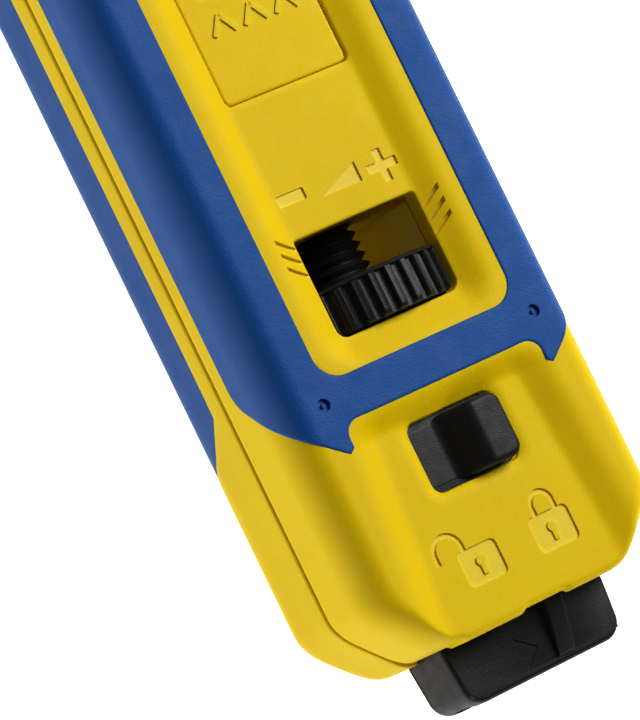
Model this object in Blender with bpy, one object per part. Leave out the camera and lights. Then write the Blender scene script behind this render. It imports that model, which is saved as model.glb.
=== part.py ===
"""Impact punch down tool, a two-shell hand tool for seating wires in terminal blocks.

Design coordinates are millimetres: x across the tool, n along it from the blade end,
z up from the parting plane of the two shells. place() turns them into world metres:
+Z is the front face's normal, the blade end points to -Y, and the tool lies on its back.
"""
import math

import bmesh
import bpy

MM = 0.001

# Driving dimensions of the housing
LENGTH = 170.0
HALF_WIDTH = 20.0
FRONT_HEIGHT = 12.0
BACK_HEIGHT = 13.0
SHELL_START = 7.0
SHELL_WALL = 2.8
JOINT_GAP = 0.15
GAP = 0.3
SINK = 0.4

# Corners and ends of the housing
CORNER_X = 3.6
CORNER_Z = 5.6
CORNER_STEPS = 6
NOSE_HALF_WIDTH = 13.5
NOSE_FLARE = 0.95
NOSE_ROUND = 1.0
NOSE_BLEND = 2.0
FACE_ROUND_LENGTH = 4.0
FACE_ROUND_DROP = 2.6
TAPER_START = 95.0
TAIL_START = 154.0
TAIL_HALF_WIDTH = 18.4
TAIL_REACH = 16.4
TAIL_POWER = 2.6
FAR = 30.0

# Overmoulded grips
GRIP_THICK = 1.0
GRIP_LOW_Z = 2.8
GRIP_START_SIDE = 41.5
GRIP_START_FACE = 31.6
GRIP_END = 160.0
GRIP_BACK_SINK = 0.2
PANEL_HALF_WIDTH = 13.25
PANEL_START = 39.3
PANEL_END = 134.0
PANEL_CORNER = 3.0
PANEL_LOW_Z = 5.0
BACK_PANEL_END = 60.0
SCREW_ACCESS_EDGE = 0.6
POCKET_TOP = 34.5
POCKET_CORNER = 1.4

# Recesses in the front face
RECESS_FLOOR_Z = 10.4
RECESS_HALF_WIDTH = 8.8
RECESS_RIM_HALF_WIDTH = 11.4
RECESS_START = 41.4
RECESS_RIM_START = 39.8
RECESS_END = 129.0
RECESS_RIM_END = 131.6
RECESS_CORNER = 1.2
RECESS_RIM_CORNER = 2.6
POCKET_FLOOR_Z = 10.5
POCKET_FOOT = 31.7
POCKET_HALF_WIDTHS = (9.9, 11.6)
POCKET_RIM_HALF_WIDTHS = (13.2, 15.0)
POCKET_RIM_END = 33.9

# Adjuster window, wheel and threaded sleeve
WINDOW_HALF_WIDTH = 8.2
WINDOW_N = (43.0, 55.1)
WINDOW_CORNER = 1.0
WHEEL_RADIUS = 12.4
WHEEL_N = (43.3, 48.9)
WHEEL_RIBS = 36
WHEEL_BEVEL = 0.5
RIB_DEPTH = 0.7
RIB_LAND = 0.27
RIB_FOOT = 0.36
WHEEL_CHAMBER_RADIUS = 12.8
WHEEL_CHAMBER_N = (42.4, 55.4)
WHEEL_POCKET_RADIUS = 6.3
WHEEL_POCKET_END = 45.2
SLEEVE_RADIUS = 4.3
SLEEVE_BORE = 2.4
SLEEVE_N = (45.0, 68.0)
THREAD_PITCH = 1.25
THREAD_DEPTH = 0.55
THREAD_N = (46.0, 54.75)
SLEEVE_FLANGE_RADIUS = 6.6
SLEEVE_FLANGE_N = (57.5, 59.3)
ADJUSTER_BORE = 4.6

# Head with its blades
HEAD_HALF_WIDTH = 11.4
HEAD_TIP_HALF_WIDTH = 11.0
HEAD_INNER_HALF_WIDTH = 10.9
HEAD_Z = (-4.4, 5.0)
HEAD_CORNER = 2.5
HEAD_BEVEL = 0.5
HEAD_STEP_N = 8.4
HEAD_BACK_N = 13.5
HEAD_RIB_X = (1.8, 4.0)
HEAD_RIB_START_Z = 5.4
HEAD_RIB_TOP_Z = 8.0
HEAD_RIB_N = (0.9, 9.2)
CROWN_HALF_WIDTH = 10.4
CROWN_TOP_Z = 6.6
CROWN_END = 12.8
LEG_X = (8.8, 10.8)
LEG_Z = (-3.0, 4.6)
LEG_END = 29.1
LEG_NOTCH_N = (18.3, 27.1)
LEG_NOTCH_Z = 2.4
BLADE_SLOT_HALF_WIDTH = 9.6
BLADE_SLOT_HALF_HEIGHT = 2.2
BLADE_SLOT_DEPTH = 6.0
BLADE_HALF_WIDTH = 8.8
BLADE_N = (1.0, 5.7)
TEETH = 8
TOOTH_GAP = (0.36, 0.64)
TOOTH_DEPTH = 2.2
SEATING_BLADE_Z = (-1.6, -0.8)
CUTTING_BLADE_Z = (0.8, 1.5)
MOUTH_CLEARANCE = 0.4
NOTCH_X = (-0.6, 5.0)
NOTCH_TOP_Z = 8.5

# Impact mechanism on the axis of the tool
RAM_DISC_N = (13.8, 16.0)
RAM_DISC_RADIUS = 4.2
RAM_STEM_RADIUS = 1.7
RAM_STEM_END = 27.9
HAMMER_N = (20.0, 32.0)
HAMMER_RADIUS = 4.4
HAMMER_FLANGE_RADIUS = 5.8
HAMMER_FLANGE_START = 30.5
HAMMER_BORE = 2.0
LATCH_SLOT_N = (28.0, 30.2)
LATCH_N = (28.3, 29.9)
LATCH_X = (-3.6, 6.9)
LATCH_HALF_HEIGHT = 1.6
LATCH_SHIFT = 1.0
LATCH_HOLE_RADIUS = 1.0
CAM_N = (27.9, 38.5)
CAM_OUTER_X = 8.4
CAM_START_X = 7.25
CAM_END_X = 6.3
CAM_SLOPE_N = (30.0, 35.6)
CAM_HALF_HEIGHT = 2.5
SPRING_N = (32.3, 44.0)
SPRING_RADIUS = 5.2
SPRING_WIRE = 0.55
SPRING_TURNS = 4.5
RETURN_SPRING_N = (16.3, 19.7)
RETURN_SPRING_RADIUS = 2.6
RETURN_SPRING_WIRE = 0.3
RETURN_SPRING_TURNS = 3.5
SEAT_N = (44.3, 44.9)
SEAT_RADII = (4.6, 6.0)
MECHANISM_BORE = 6.3

# Head lock
LOCK_OPENING_HALF_WIDTH = 6.0
LOCK_OPENING_N = (22.9, 31.3)
LOCK_OPENING_CORNER = 0.8
LOCK_ROOF_X = (-13.6, 11.0)
LOCK_ROOF_N = (21.8, 32.2)
LOCK_ROOF_Z = 9.6
SKIRT_X = (-9.4, 9.6)
SKIRT_N = (22.4, 31.8)
SKIRT_Z = (8.0, 9.3)
KNOB_N = (23.2, 31.0)
KNOB_LEFT_X = -2.0
KNOB_LAND_X = 3.0
KNOB_RIGHT_X = 5.5
KNOB_STEP_Z = 10.7
KNOB_TOP_Z = 12.6
KNOB_BEVEL = 0.6
PEG_X = 4.0
PEG_N = 25.9
PEG_RADIUS = 0.8
YOKE_N = (24.2, 27.6)
YOKE_Z = (6.6, 7.3)
YOKE_HALF_WIDTH = 10.6
PRONG_X = (8.9, 10.6)
PRONG_N = (24.8, 26.8)
PRONG_LOW_Z = 2.7
DETENT_N = (28.8, 31.0)
DETENT_HALF_LENGTH = 6.0
DETENT_THICK = 0.35
DETENT_RISE = 0.5
DETENT_FOOT_Z = 7.0

# Blade store
LID_N = (71.8, 126.0)
LID_HALF_WIDTH = 8.2
LID_Z = (8.7, 10.2)
LID_SLOT_N = (84.3, 88.2)
LID_SLOT_HALF_WIDTH = 5.8
LID_PIN_N = 90.0
LID_PIN_Z = 8.0
LID_PIN_RADIUS = 1.0
LID_PIN_HALF_LENGTH = 10.0
LID_KNUCKLE = 1.4
LID_CORNER = 0.7
PIN_BLOCK_X = (8.7, 11.1)
PIN_BLOCK_Z = (6.2, 9.6)
PIN_BLOCK_HALF_LENGTH = 2.0
TRAY_N = (92.6, 126.0)
TRAY_HALF_WIDTH = 7.6
TRAY_Z = (-4.0, 8.2)
TRAY_WALL = 1.0
SPARE_X = 3.5
SPARE_N = (95.0, 124.0)
SPARE_Z = -0.6
SPARE_RADIUS = 2.2
SPARE_FLAT_HALF_WIDTH = 1.7
SPARE_TIP_HALF_HEIGHT = 0.6
SPARE_ROOT_HALF_HEIGHT = 1.4
SPARE_FORK_HALF_WIDTH = 0.5
SPARE_FORK_DEPTH = 2.5

# Ribs of the shells, each from n to n, and the screws
CHAMBERS = ((9.9, 32.6), (34.2, 40.8), WHEEL_CHAMBER_N, (57.2, 66.0), (67.5, 166.0))
MOUTH_N = (5.0, 10.5)
FIRST_RIB_N = (32.0, 34.8)
SPRING_BORE_N = (32.0, 43.0)
SLEEVE_BORE_N = (55.0, 68.5)
SCREW_PLACES = ((14.6, 18.0), (13.4, 61.6), (12.0, 146.0))
BOSS_RADIUS = 3.4
BOSS_FACE_GAP = 1.6
SCREW_HEAD_RADIUS = 2.4
SCREW_SHANK_RADIUS = 1.1
SCREW_SEAT_Z = -9.8
SCREW_HEAD_THICK = 1.7
SCREW_DRIVE_RADIUS = 1.2
SCREW_DRIVE_DEPTH = 0.9
SCREW_TIP_Z = 6.6

ROUND_STEPS = 28
SHARP_ANGLE = 35


def clear_scene():
    for old in list(bpy.data.objects):
        bpy.data.objects.remove(old, do_unlink=True)


def place(x, n, z):
    """World metres of a design point."""
    return (x * MM, (n - LENGTH / 2) * MM, (z + BACK_HEIGHT) * MM)


def make_material(name, color, roughness, metallic=0.0):
    material = bpy.data.materials.new(name)
    material.use_nodes = True
    shader = material.node_tree.nodes["Principled BSDF"]
    shader.inputs["Base Color"].default_value = (*color, 1.0)
    shader.inputs["Roughness"].default_value = roughness
    shader.inputs["Metallic"].default_value = metallic
    return material


# ---------------------------------------------------------------- solids

def solid(name, points, faces):
    """Object from design points, with its faces turned outwards."""
    mesh = bpy.data.meshes.new(name)
    mesh.from_pydata([place(*point) for point in points], [], faces)
    shape = bmesh.new()
    shape.from_mesh(mesh)
    bmesh.ops.recalc_face_normals(shape, faces=shape.faces)
    shape.to_mesh(mesh)
    shape.free()
    obj = bpy.data.objects.new(name, mesh)
    bpy.context.scene.collection.objects.link(obj)
    return obj


def loft(name, rings):
    """Closed solid through rings that all have the same number of points."""
    size = len(rings[0])
    points = [point for ring in rings for point in ring]
    faces = [list(range(size)), [len(points) - 1 - i for i in range(size)]]
    for row in range(len(rings) - 1):
        low = row * size
        for i in range(size):
            j = (i + 1) % size
            faces.append([low + i, low + j, low + size + j, low + size + i])
    return solid(name, points, faces)


def prism_up(name, outline, z0, z1):
    """Outline of (x, n) points, extruded along z."""
    return loft(name, [[(x, n, z) for x, n in outline] for z in (z0, z1)])


def prism_across(name, outline, x0, x1):
    """Outline of (n, z) points, extruded along x."""
    return loft(name, [[(x, n, z) for n, z in outline] for x in (x0, x1)])


def prism_along(name, outline, n0, n1):
    """Outline of (x, z) points, extruded along n."""
    return loft(name, [[(x, n, z) for x, z in outline] for n in (n0, n1)])


def box(name, xs, ns, zs):
    return prism_up(name, rounded_outline(xs, ns, 0), *zs)


def rounded_outline(us, vs, radius, steps=4):
    """Rectangle between us and vs with round corners, anticlockwise."""
    if radius == 0:
        return [(us[0], vs[0]), (us[1], vs[0]), (us[1], vs[1]), (us[0], vs[1])]
    corners = ((us[1], vs[0], -90), (us[1], vs[1], 0), (us[0], vs[1], 90), (us[0], vs[0], 180))
    points = []
    for u, v, start in corners:
        centre_u = u - radius if u == us[1] else u + radius
        centre_v = v - radius if v == vs[1] else v + radius
        for step in range(steps + 1):
            angle = math.radians(start + 90 * step / steps)
            points.append((centre_u + radius * math.cos(angle), centre_v + radius * math.sin(angle)))
    return points


def circle(radius, steps=ROUND_STEPS, centre=(0.0, 0.0), phase=0.0):
    turns = [phase + 2 * math.pi * i / steps for i in range(steps)]
    return [(centre[0] + radius * math.cos(t), centre[1] + radius * math.sin(t)) for t in turns]


def turned(name, profile, steps=ROUND_STEPS):
    """Solid of revolution about the tool's axis from a list of (n, radius)."""
    return loft(name, [[(x, n, z) for x, z in circle(radius, steps)] for n, radius in profile])


def rod_along(name, radius, ns, steps=ROUND_STEPS):
    return turned(name, [(ns[0], radius), (ns[1], radius)], steps)


def rod_up(name, radius, centre, zs, steps=20):
    return prism_up(name, circle(radius, steps, centre), *zs)


def coil(name, radius, wire, ns, turns, sides=6, steps_per_turn=14):
    """Round wire wound about the tool's axis, its surfaces between the two ns."""
    count = int(turns * steps_per_turn)
    low, high = ns[0] + wire, ns[1] - wire
    rings = []
    for step in range(count + 1):
        angle = 2 * math.pi * turns * step / count
        centre_n = low + (high - low) * step / count
        ring = []
        for side in range(sides):
            turn = 2 * math.pi * side / sides
            reach = radius + wire * math.cos(turn)
            along = centre_n + wire * math.sin(turn)
            ring.append((reach * math.cos(angle), along, reach * math.sin(angle)))
        rings.append(ring)
    return loft(name, rings)


def combine(obj, tool, operation):
    """Boolean of obj with tool, which is used up."""
    modifier = obj.modifiers.new(operation, "BOOLEAN")
    modifier.operation = operation
    modifier.solver = "EXACT"
    modifier.object = tool
    bpy.context.view_layer.update()
    graph = bpy.context.evaluated_depsgraph_get()
    mesh = bpy.data.meshes.new_from_object(obj.evaluated_get(graph))
    obj.modifiers.clear()
    obj.data = mesh
    bpy.data.objects.remove(tool, do_unlink=True)
    return obj


def cut(obj, tool):
    return combine(obj, tool, "DIFFERENCE")


def keep(obj, tool):
    return combine(obj, tool, "INTERSECT")


def join(obj, tool):
    return combine(obj, tool, "UNION")


# ---------------------------------------------------------------- housing form

def soft_least(a, b, blend):
    """Smaller of two lengths, rounded over where they cross."""
    mix = max(blend - abs(a - b), 0.0) / blend
    return min(a, b) - mix * mix * blend / 4


def tail_factor(n):
    """Share of its full size that the housing has at n, rounding off the tail."""
    reach = max(0.0, n - TAIL_START) / TAIL_REACH
    return (1 - reach ** TAIL_POWER) ** (1 / TAIL_POWER)


def half_width(n):
    from_nose = max(0.0, n - SHELL_START)
    flare = NOSE_HALF_WIDTH + NOSE_FLARE * from_nose
    if from_nose < NOSE_ROUND:
        lag = NOSE_ROUND - from_nose
        flare -= NOSE_ROUND - math.sqrt(NOSE_ROUND ** 2 - lag ** 2)
    taper = max(0.0, n - TAPER_START) / (TAIL_START - TAPER_START)
    full = HALF_WIDTH + (TAIL_HALF_WIDTH - HALF_WIDTH) * min(1.0, taper)
    return soft_least(full, flare, NOSE_BLEND) * tail_factor(n)


def face_height(n, height):
    from_nose = max(0.0, n - SHELL_START)
    drop = 0.0
    if from_nose < FACE_ROUND_LENGTH:
        lag = 1 - from_nose / FACE_ROUND_LENGTH
        drop = FACE_ROUND_DROP * (1 - math.sqrt(1 - lag ** 2))
    return (height - drop) * tail_factor(n)


def housing_stations(first, last):
    ends = [0, 0.3, 0.8, 1.5, 2.4, 3.4, 4.5, 5.8, 7.2, 9.0, 12.0]
    stations = [SHELL_START + step for step in ends]
    stations += [30.0, 55.0, 75.0, TAPER_START, 125.0, TAIL_START]
    stations += [157.0, 160.0, 163.0, 165.5, 167.5, 169.0, LENGTH]
    inside = [n for n in stations if first < n < last]
    return [first] + inside + [last]


def section(n, height, inset, low_z, side):
    """Half section of the housing at n, moved inwards by inset, on the side of +z or -z."""
    width = half_width(n) - inset
    top = face_height(n, height) - inset
    corner_x = max(0.8, CORNER_X - 0.6 * inset)
    corner_z = max(0.8, min(CORNER_Z - 0.6 * inset, top - low_z - 0.4))
    right = [(width, low_z)]
    for step in range(CORNER_STEPS + 1):
        angle = math.radians(90 * step / CORNER_STEPS)
        x = width - corner_x + corner_x * math.cos(angle)
        z = top - corner_z + corner_z * math.sin(angle)
        right.append((x, z))
    ring = right + [(-x, z) for x, z in reversed(right)]
    return [(x, n, side * z) for x, z in ring]


def housing_form(name, side, inset=0.0, low_z=JOINT_GAP, ns=(SHELL_START, LENGTH)):
    height = FRONT_HEIGHT if side > 0 else BACK_HEIGHT
    rings = [section(n, height, inset, low_z, side) for n in housing_stations(*ns)]
    return loft(name, rings)


# ---------------------------------------------------------------- grips

def grip_form(name, side, outer, inner, grow):
    """Overmould between two insets of the housing; grow widens it on every free edge."""
    grip = housing_form(name, side, outer)
    cut(grip, housing_form("core", side, inner, -1.0, (SHELL_START - 1, LENGTH - 0.1)))
    low = GRIP_LOW_Z - grow
    start_side = GRIP_START_SIDE - grow * 1.4
    start_face = GRIP_START_FACE - grow * 1.4
    slope = (start_side - start_face) / (FRONT_HEIGHT - GRIP_LOW_Z)
    top = FAR / 2
    wedge = [
        (start_side, side * low),
        (GRIP_END + grow, side * low),
        (GRIP_END + grow, side * top),
        (start_side - slope * (top - low), side * top),
    ]
    keep(grip, prism_across("wedge", wedge, -FAR, FAR))
    panel_end = PANEL_END if side > 0 else BACK_PANEL_END
    panel = rounded_outline(
        (-PANEL_HALF_WIDTH + grow, PANEL_HALF_WIDTH - grow),
        (PANEL_START + grow, panel_end - grow),
        PANEL_CORNER,
    )
    cut(grip, prism_up("panel", panel, side * PANEL_LOW_Z, side * top))
    if side > 0:
        rim = POCKET_RIM_HALF_WIDTHS[0] + 0.3 - grow
        pocket = rounded_outline((-rim, rim), (0.0, POCKET_TOP - grow), POCKET_CORNER)
        cut(grip, prism_up("pocket", pocket, PANEL_LOW_Z, top))
    else:
        for x, n in screw_places():
            access = SCREW_HEAD_RADIUS + GAP + SCREW_ACCESS_EDGE - grow
            cut(grip, rod_up("access", access, (x, n), (-FAR, -PANEL_LOW_Z)))
    return grip


def grip_bed(side, sink):
    """What is cut from a shell so that its overmould lies in it with a gap."""
    return grip_form("bed", side, -0.8, GRIP_THICK + GAP + sink, GAP)


# ---------------------------------------------------------------- shells

def frustum_outline(half_widths, ns):
    near, far = half_widths
    return [(-far, ns[0]), (far, ns[0]), (near, ns[1]), (-near, ns[1])]


def slanted_pocket(name, floor, rim, floor_z):
    """Cutter whose outline grows from floor at floor_z to rim at the front face and above."""
    rings = [[(x, n, floor_z) for x, n in floor], [(x, n, FRONT_HEIGHT) for x, n in rim]]
    rings.append([(x, n, FRONT_HEIGHT + 3) for x, n in rim])
    return loft(name, rings)


def hollow_out(shell, side):
    """Inside of a shell: chambers between ribs, bores on the axis and the mouth."""
    for chamber in CHAMBERS:
        cut(shell, housing_form("chamber", side, SHELL_WALL, -1.0, chamber))
    cut(shell, rod_along("wheel_space", WHEEL_CHAMBER_RADIUS, WHEEL_CHAMBER_N, 40))
    cut(shell, rod_along("spring_bore", MECHANISM_BORE, SPRING_BORE_N))
    cut(shell, rod_along("sleeve_bore", ADJUSTER_BORE, SLEEVE_BORE_N))
    mouth_x = HEAD_HALF_WIDTH + MOUTH_CLEARANCE
    mouth_low = HEAD_Z[0] - MOUTH_CLEARANCE
    mouth = [(mouth_x, mouth_low), (mouth_x, HEAD_Z[1] + MOUTH_CLEARANCE)]
    mouth += [(x, CROWN_TOP_Z + MOUTH_CLEARANCE) for x in reversed(HEAD_RIB_X)]
    mouth += [(-mouth_x, HEAD_Z[1] + MOUTH_CLEARANCE), (-mouth_x, mouth_low)]
    cut(shell, prism_along("mouth", mouth, *MOUTH_N))
    for sign in (-1, 1):
        xs = sorted((sign * (LEG_X[0] - GAP), sign * (LEG_X[1] + GAP)))
        cut(shell, box("leg_channel", xs, FIRST_RIB_N, (LEG_Z[0] - GAP, LEG_Z[1] + GAP)))
    cam_x = (CAM_END_X - GAP, CAM_OUTER_X + GAP)
    cam_z = (-CAM_HALF_HEIGHT - GAP, CAM_HALF_HEIGHT + GAP)
    cut(shell, box("cam_slot", cam_x, FIRST_RIB_N, cam_z))


def screw_places():
    return [(sign * x, n) for x, n in SCREW_PLACES for sign in (-1, 1)]


def add_bosses(shell, side):
    height = FRONT_HEIGHT if side > 0 else BACK_HEIGHT
    for x, n in screw_places():
        zs = sorted((side * JOINT_GAP, side * (height - BOSS_FACE_GAP)))
        join(shell, rod_up("boss", BOSS_RADIUS, (x, n), zs))
    for x, n in screw_places():
        hole = SCREW_SHANK_RADIUS + GAP
        cut(shell, rod_up("screw_hole", hole, (x, n), (SCREW_SEAT_Z - 1, SCREW_TIP_Z + GAP), 12))
        if side < 0:
            head = SCREW_HEAD_RADIUS + GAP
            cut(shell, rod_up("screw_seat", head, (x, n), (-FAR, SCREW_SEAT_Z + GAP)))


def window_cutter(zs):
    outline = rounded_outline((-WINDOW_HALF_WIDTH, WINDOW_HALF_WIDTH), WINDOW_N, WINDOW_CORNER)
    return prism_up("window", outline, *zs)


def build_front_shell():
    shell = housing_form("front_shell", 1)
    cut(shell, grip_bed(1, 0.0))
    floor = rounded_outline(
        (-RECESS_HALF_WIDTH, RECESS_HALF_WIDTH), (RECESS_START, RECESS_END), RECESS_CORNER)
    rim = rounded_outline(
        (-RECESS_RIM_HALF_WIDTH, RECESS_RIM_HALF_WIDTH),
        (RECESS_RIM_START, RECESS_RIM_END),
        RECESS_RIM_CORNER,
    )
    cut(shell, slanted_pocket("recess", floor, rim, RECESS_FLOOR_Z))
    floor = frustum_outline(POCKET_HALF_WIDTHS, (0.0, POCKET_FOOT))
    rim = frustum_outline(POCKET_RIM_HALF_WIDTHS, (0.0, POCKET_RIM_END))
    cut(shell, slanted_pocket("pocket", floor, rim, POCKET_FLOOR_Z))
    hollow_out(shell, 1)
    cut(shell, box("rib_notch", NOTCH_X, MOUTH_N, (HEAD_Z[1] - 1, NOTCH_TOP_Z)))
    cut(shell, box("lock_roof", LOCK_ROOF_X, LOCK_ROOF_N, (SKIRT_Z[0] - 1, LOCK_ROOF_Z)))
    opening = rounded_outline(
        (-LOCK_OPENING_HALF_WIDTH, LOCK_OPENING_HALF_WIDTH), LOCK_OPENING_N, LOCK_OPENING_CORNER)
    cut(shell, prism_up("lock_opening", opening, SKIRT_Z[0] - 1, FAR))
    cut(shell, window_cutter((0.0, FAR)))
    lid_x = LID_HALF_WIDTH + GAP
    lid = rounded_outline((-lid_x, lid_x), (LID_N[0] - GAP, LID_N[1] + GAP), LID_CORNER + GAP)
    cut(shell, prism_up("lid_opening", lid, LID_PIN_Z - 1, FAR))
    block_n = (LID_PIN_N - PIN_BLOCK_HALF_LENGTH, LID_PIN_N + PIN_BLOCK_HALF_LENGTH)
    for sign in (-1, 1):
        xs = sorted(sign * x for x in PIN_BLOCK_X)
        join(shell, box("pin_block", xs, block_n, PIN_BLOCK_Z))
    pin_hole = circle(LID_PIN_RADIUS + GAP, 14, (LID_PIN_N, LID_PIN_Z))
    reach = LID_PIN_HALF_LENGTH + GAP
    cut(shell, prism_across("pin_hole", pin_hole, -reach, reach))
    add_bosses(shell, 1)
    return shell


def build_rear_shell():
    shell = housing_form("rear_shell", -1)
    cut(shell, grip_bed(-1, GRIP_BACK_SINK))
    hollow_out(shell, -1)
    cut(shell, window_cutter((-FAR, 0.0)))
    add_bosses(shell, -1)
    return shell


def build_screw(index, x, n):
    low = SCREW_SEAT_Z - SCREW_HEAD_THICK
    screw = rod_up(f"shell_screw_{index}", SCREW_HEAD_RADIUS, (x, n), (low, SCREW_SEAT_Z))
    shank = (SCREW_SEAT_Z - 0.4, SCREW_TIP_Z)
    join(screw, rod_up("shank", SCREW_SHANK_RADIUS, (x, n), shank, 12))
    cut(screw, rod_up("drive", SCREW_DRIVE_RADIUS, (x, n), (low - 1, low + SCREW_DRIVE_DEPTH), 6))
    return screw


# ---------------------------------------------------------------- adjuster

def build_wheel():
    """Thumb wheel: a nut with lengthwise ribs and a pocket for the spring's seat."""
    outline = []
    pitch = 2 * math.pi / WHEEL_RIBS
    for rib in range(WHEEL_RIBS):
        middle = rib * pitch
        side = ((RIB_LAND / 2, 0), (RIB_FOOT, RIB_DEPTH))
        shape = [(-offset, depth) for offset, depth in reversed(side)] + list(side)
        for offset, depth in shape:
            outline.append((middle + offset * pitch, depth))
    rings = []
    low, high = WHEEL_N
    rows = ((low, WHEEL_BEVEL), (low + WHEEL_BEVEL, 0), (high - WHEEL_BEVEL, 0), (high, WHEEL_BEVEL))
    for n, shrink in rows:
        ring = []
        for angle, depth in outline:
            reach = WHEEL_RADIUS - max(depth, shrink)
            ring.append((reach * math.cos(angle), n, reach * math.sin(angle)))
        rings.append(ring)
    wheel = loft("adjuster_wheel", rings)
    cut(wheel, rod_along("spring_pocket", WHEEL_POCKET_RADIUS, (low - 1, WHEEL_POCKET_END)))
    cut(wheel, rod_along("nut_bore", ADJUSTER_BORE, (low - 1, high + 1)))
    return wheel


def build_sleeve():
    start, end = SLEEVE_N
    root = SLEEVE_RADIUS - THREAD_DEPTH
    profile = [(start, root)]
    crest = THREAD_N[0]
    while crest < THREAD_N[1] + 0.01:
        profile.append((crest - THREAD_PITCH / 2, root))
        profile.append((crest, SLEEVE_RADIUS))
        crest += THREAD_PITCH
    profile.append((crest - THREAD_PITCH / 2, root))
    low, high = SLEEVE_FLANGE_N
    profile += [(low - SINK, SLEEVE_RADIUS), (low, SLEEVE_RADIUS), (low, SLEEVE_FLANGE_RADIUS)]
    profile += [(high, SLEEVE_FLANGE_RADIUS), (high, SLEEVE_RADIUS), (end, SLEEVE_RADIUS)]
    sleeve = turned("threaded_sleeve", profile)
    return cut(sleeve, rod_along("bore", SLEEVE_BORE, (start - 1, end + 1), 20))


def build_spring_seat():
    seat = rod_along("spring_seat", SEAT_RADII[1], SEAT_N)
    return cut(seat, rod_along("hole", SEAT_RADII[0], (SEAT_N[0] - 1, SEAT_N[1] + 1)))


# ---------------------------------------------------------------- impact mechanism

def build_ram():
    ram = rod_along("ram", RAM_DISC_RADIUS, RAM_DISC_N)
    return join(ram, rod_along("stem", RAM_STEM_RADIUS, (RAM_DISC_N[1] - 0.5, RAM_STEM_END), 18))


def build_hammer():
    hammer = rod_along("hammer", HAMMER_RADIUS, HAMMER_N)
    flange = rod_along("flange", HAMMER_FLANGE_RADIUS, (HAMMER_FLANGE_START, HAMMER_N[1]))
    join(hammer, flange)
    cut(hammer, rod_along("bore", HAMMER_BORE, (HAMMER_N[0] - 1, HAMMER_N[1] + 1), 18))
    slot_z = LATCH_HALF_HEIGHT + GAP
    return cut(hammer, box("slot", (-FAR, FAR), LATCH_SLOT_N, (-slot_z, slot_z)))


def build_trip_latch():
    latch = box("trip_latch", LATCH_X, LATCH_N, (-LATCH_HALF_HEIGHT, LATCH_HALF_HEIGHT))
    hole = circle(LATCH_HOLE_RADIUS, 14, (LATCH_SHIFT, 0.0))
    return cut(latch, prism_along("hole", hole, LATCH_N[0] - 1, LATCH_N[1] + 1))


def build_trip_cam():
    outline = [
        (CAM_START_X, CAM_N[0]),
        (CAM_OUTER_X, CAM_N[0]),
        (CAM_OUTER_X, CAM_N[1]),
        (CAM_END_X, CAM_N[1]),
        (CAM_END_X, CAM_SLOPE_N[1]),
        (CAM_START_X, CAM_SLOPE_N[0]),
    ]
    return prism_up("trip_cam", outline, -CAM_HALF_HEIGHT, CAM_HALF_HEIGHT)


# ---------------------------------------------------------------- head

def head_outline():
    """Plan of the head: rounded at the blade end, stepped where it enters the shells."""
    right = []
    for step in range(6):
        angle = math.radians(-90 + 90 * step / 5)
        x = HEAD_TIP_HALF_WIDTH - HEAD_CORNER + HEAD_CORNER * math.cos(angle)
        right.append((x, HEAD_CORNER + HEAD_CORNER * math.sin(angle)))
    right.append((HEAD_HALF_WIDTH, SHELL_START - 0.5))
    right.append((HEAD_HALF_WIDTH, HEAD_STEP_N))
    right.append((HEAD_INNER_HALF_WIDTH, HEAD_STEP_N + 0.3))
    right.append((HEAD_INNER_HALF_WIDTH, HEAD_BACK_N))
    return right + [(-x, n) for x, n in reversed(right)]


def head_crown():
    """Low roof on the head, rising towards the shells and highest along the rib."""
    low = HEAD_Z[1] - SINK
    rings = []
    for n, ridge in ((HEAD_RIB_N[0], low + SINK), (SHELL_START, CROWN_TOP_Z), (CROWN_END, CROWN_TOP_Z)):
        eaves = HEAD_Z[1] - 0.05
        outline = [(-CROWN_HALF_WIDTH, low), (CROWN_HALF_WIDTH, low), (CROWN_HALF_WIDTH, eaves)]
        outline += [(HEAD_RIB_X[1], ridge), (HEAD_RIB_X[0], ridge), (-CROWN_HALF_WIDTH, eaves)]
        rings.append([(x, n, z) for x, z in outline])
    return loft("crown", rings)


def build_head():
    low, top = HEAD_Z
    rings = []
    rows = ((low, HEAD_BEVEL), (low + HEAD_BEVEL, 0), (top - HEAD_BEVEL, 0), (top, HEAD_BEVEL))
    for z, shrink in rows:
        scale_x = 1 - shrink / HEAD_HALF_WIDTH
        scale_n = 1 - 2 * shrink / HEAD_BACK_N
        middle = HEAD_BACK_N / 2
        rings.append([(x * scale_x, middle + (n - middle) * scale_n, z) for x, n in head_outline()])
    head = loft("blade_head", rings)
    for sign in (-1, 1):
        xs = sorted((sign * LEG_X[0], sign * LEG_X[1]))
        leg = box("leg", xs, (HEAD_BACK_N - 1.2, LEG_END), LEG_Z)
        cut(leg, box("notch", (-FAR, FAR), LEG_NOTCH_N, (LEG_NOTCH_Z, FAR)))
        join(head, leg)
    join(head, head_crown())
    start, end = HEAD_RIB_N
    rib = [(start, top - SINK), (start, HEAD_RIB_START_Z), (SHELL_START, HEAD_RIB_TOP_Z)]
    rib += [(end, HEAD_RIB_TOP_Z), (end, top - SINK)]
    join(head, prism_across("rib", rib, *HEAD_RIB_X))
    slot_x = (-BLADE_SLOT_HALF_WIDTH, BLADE_SLOT_HALF_WIDTH)
    slot_z = (-BLADE_SLOT_HALF_HEIGHT, BLADE_SLOT_HALF_HEIGHT)
    return cut(head, box("blade_slot", slot_x, (-1.0, BLADE_SLOT_DEPTH), slot_z))


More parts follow.
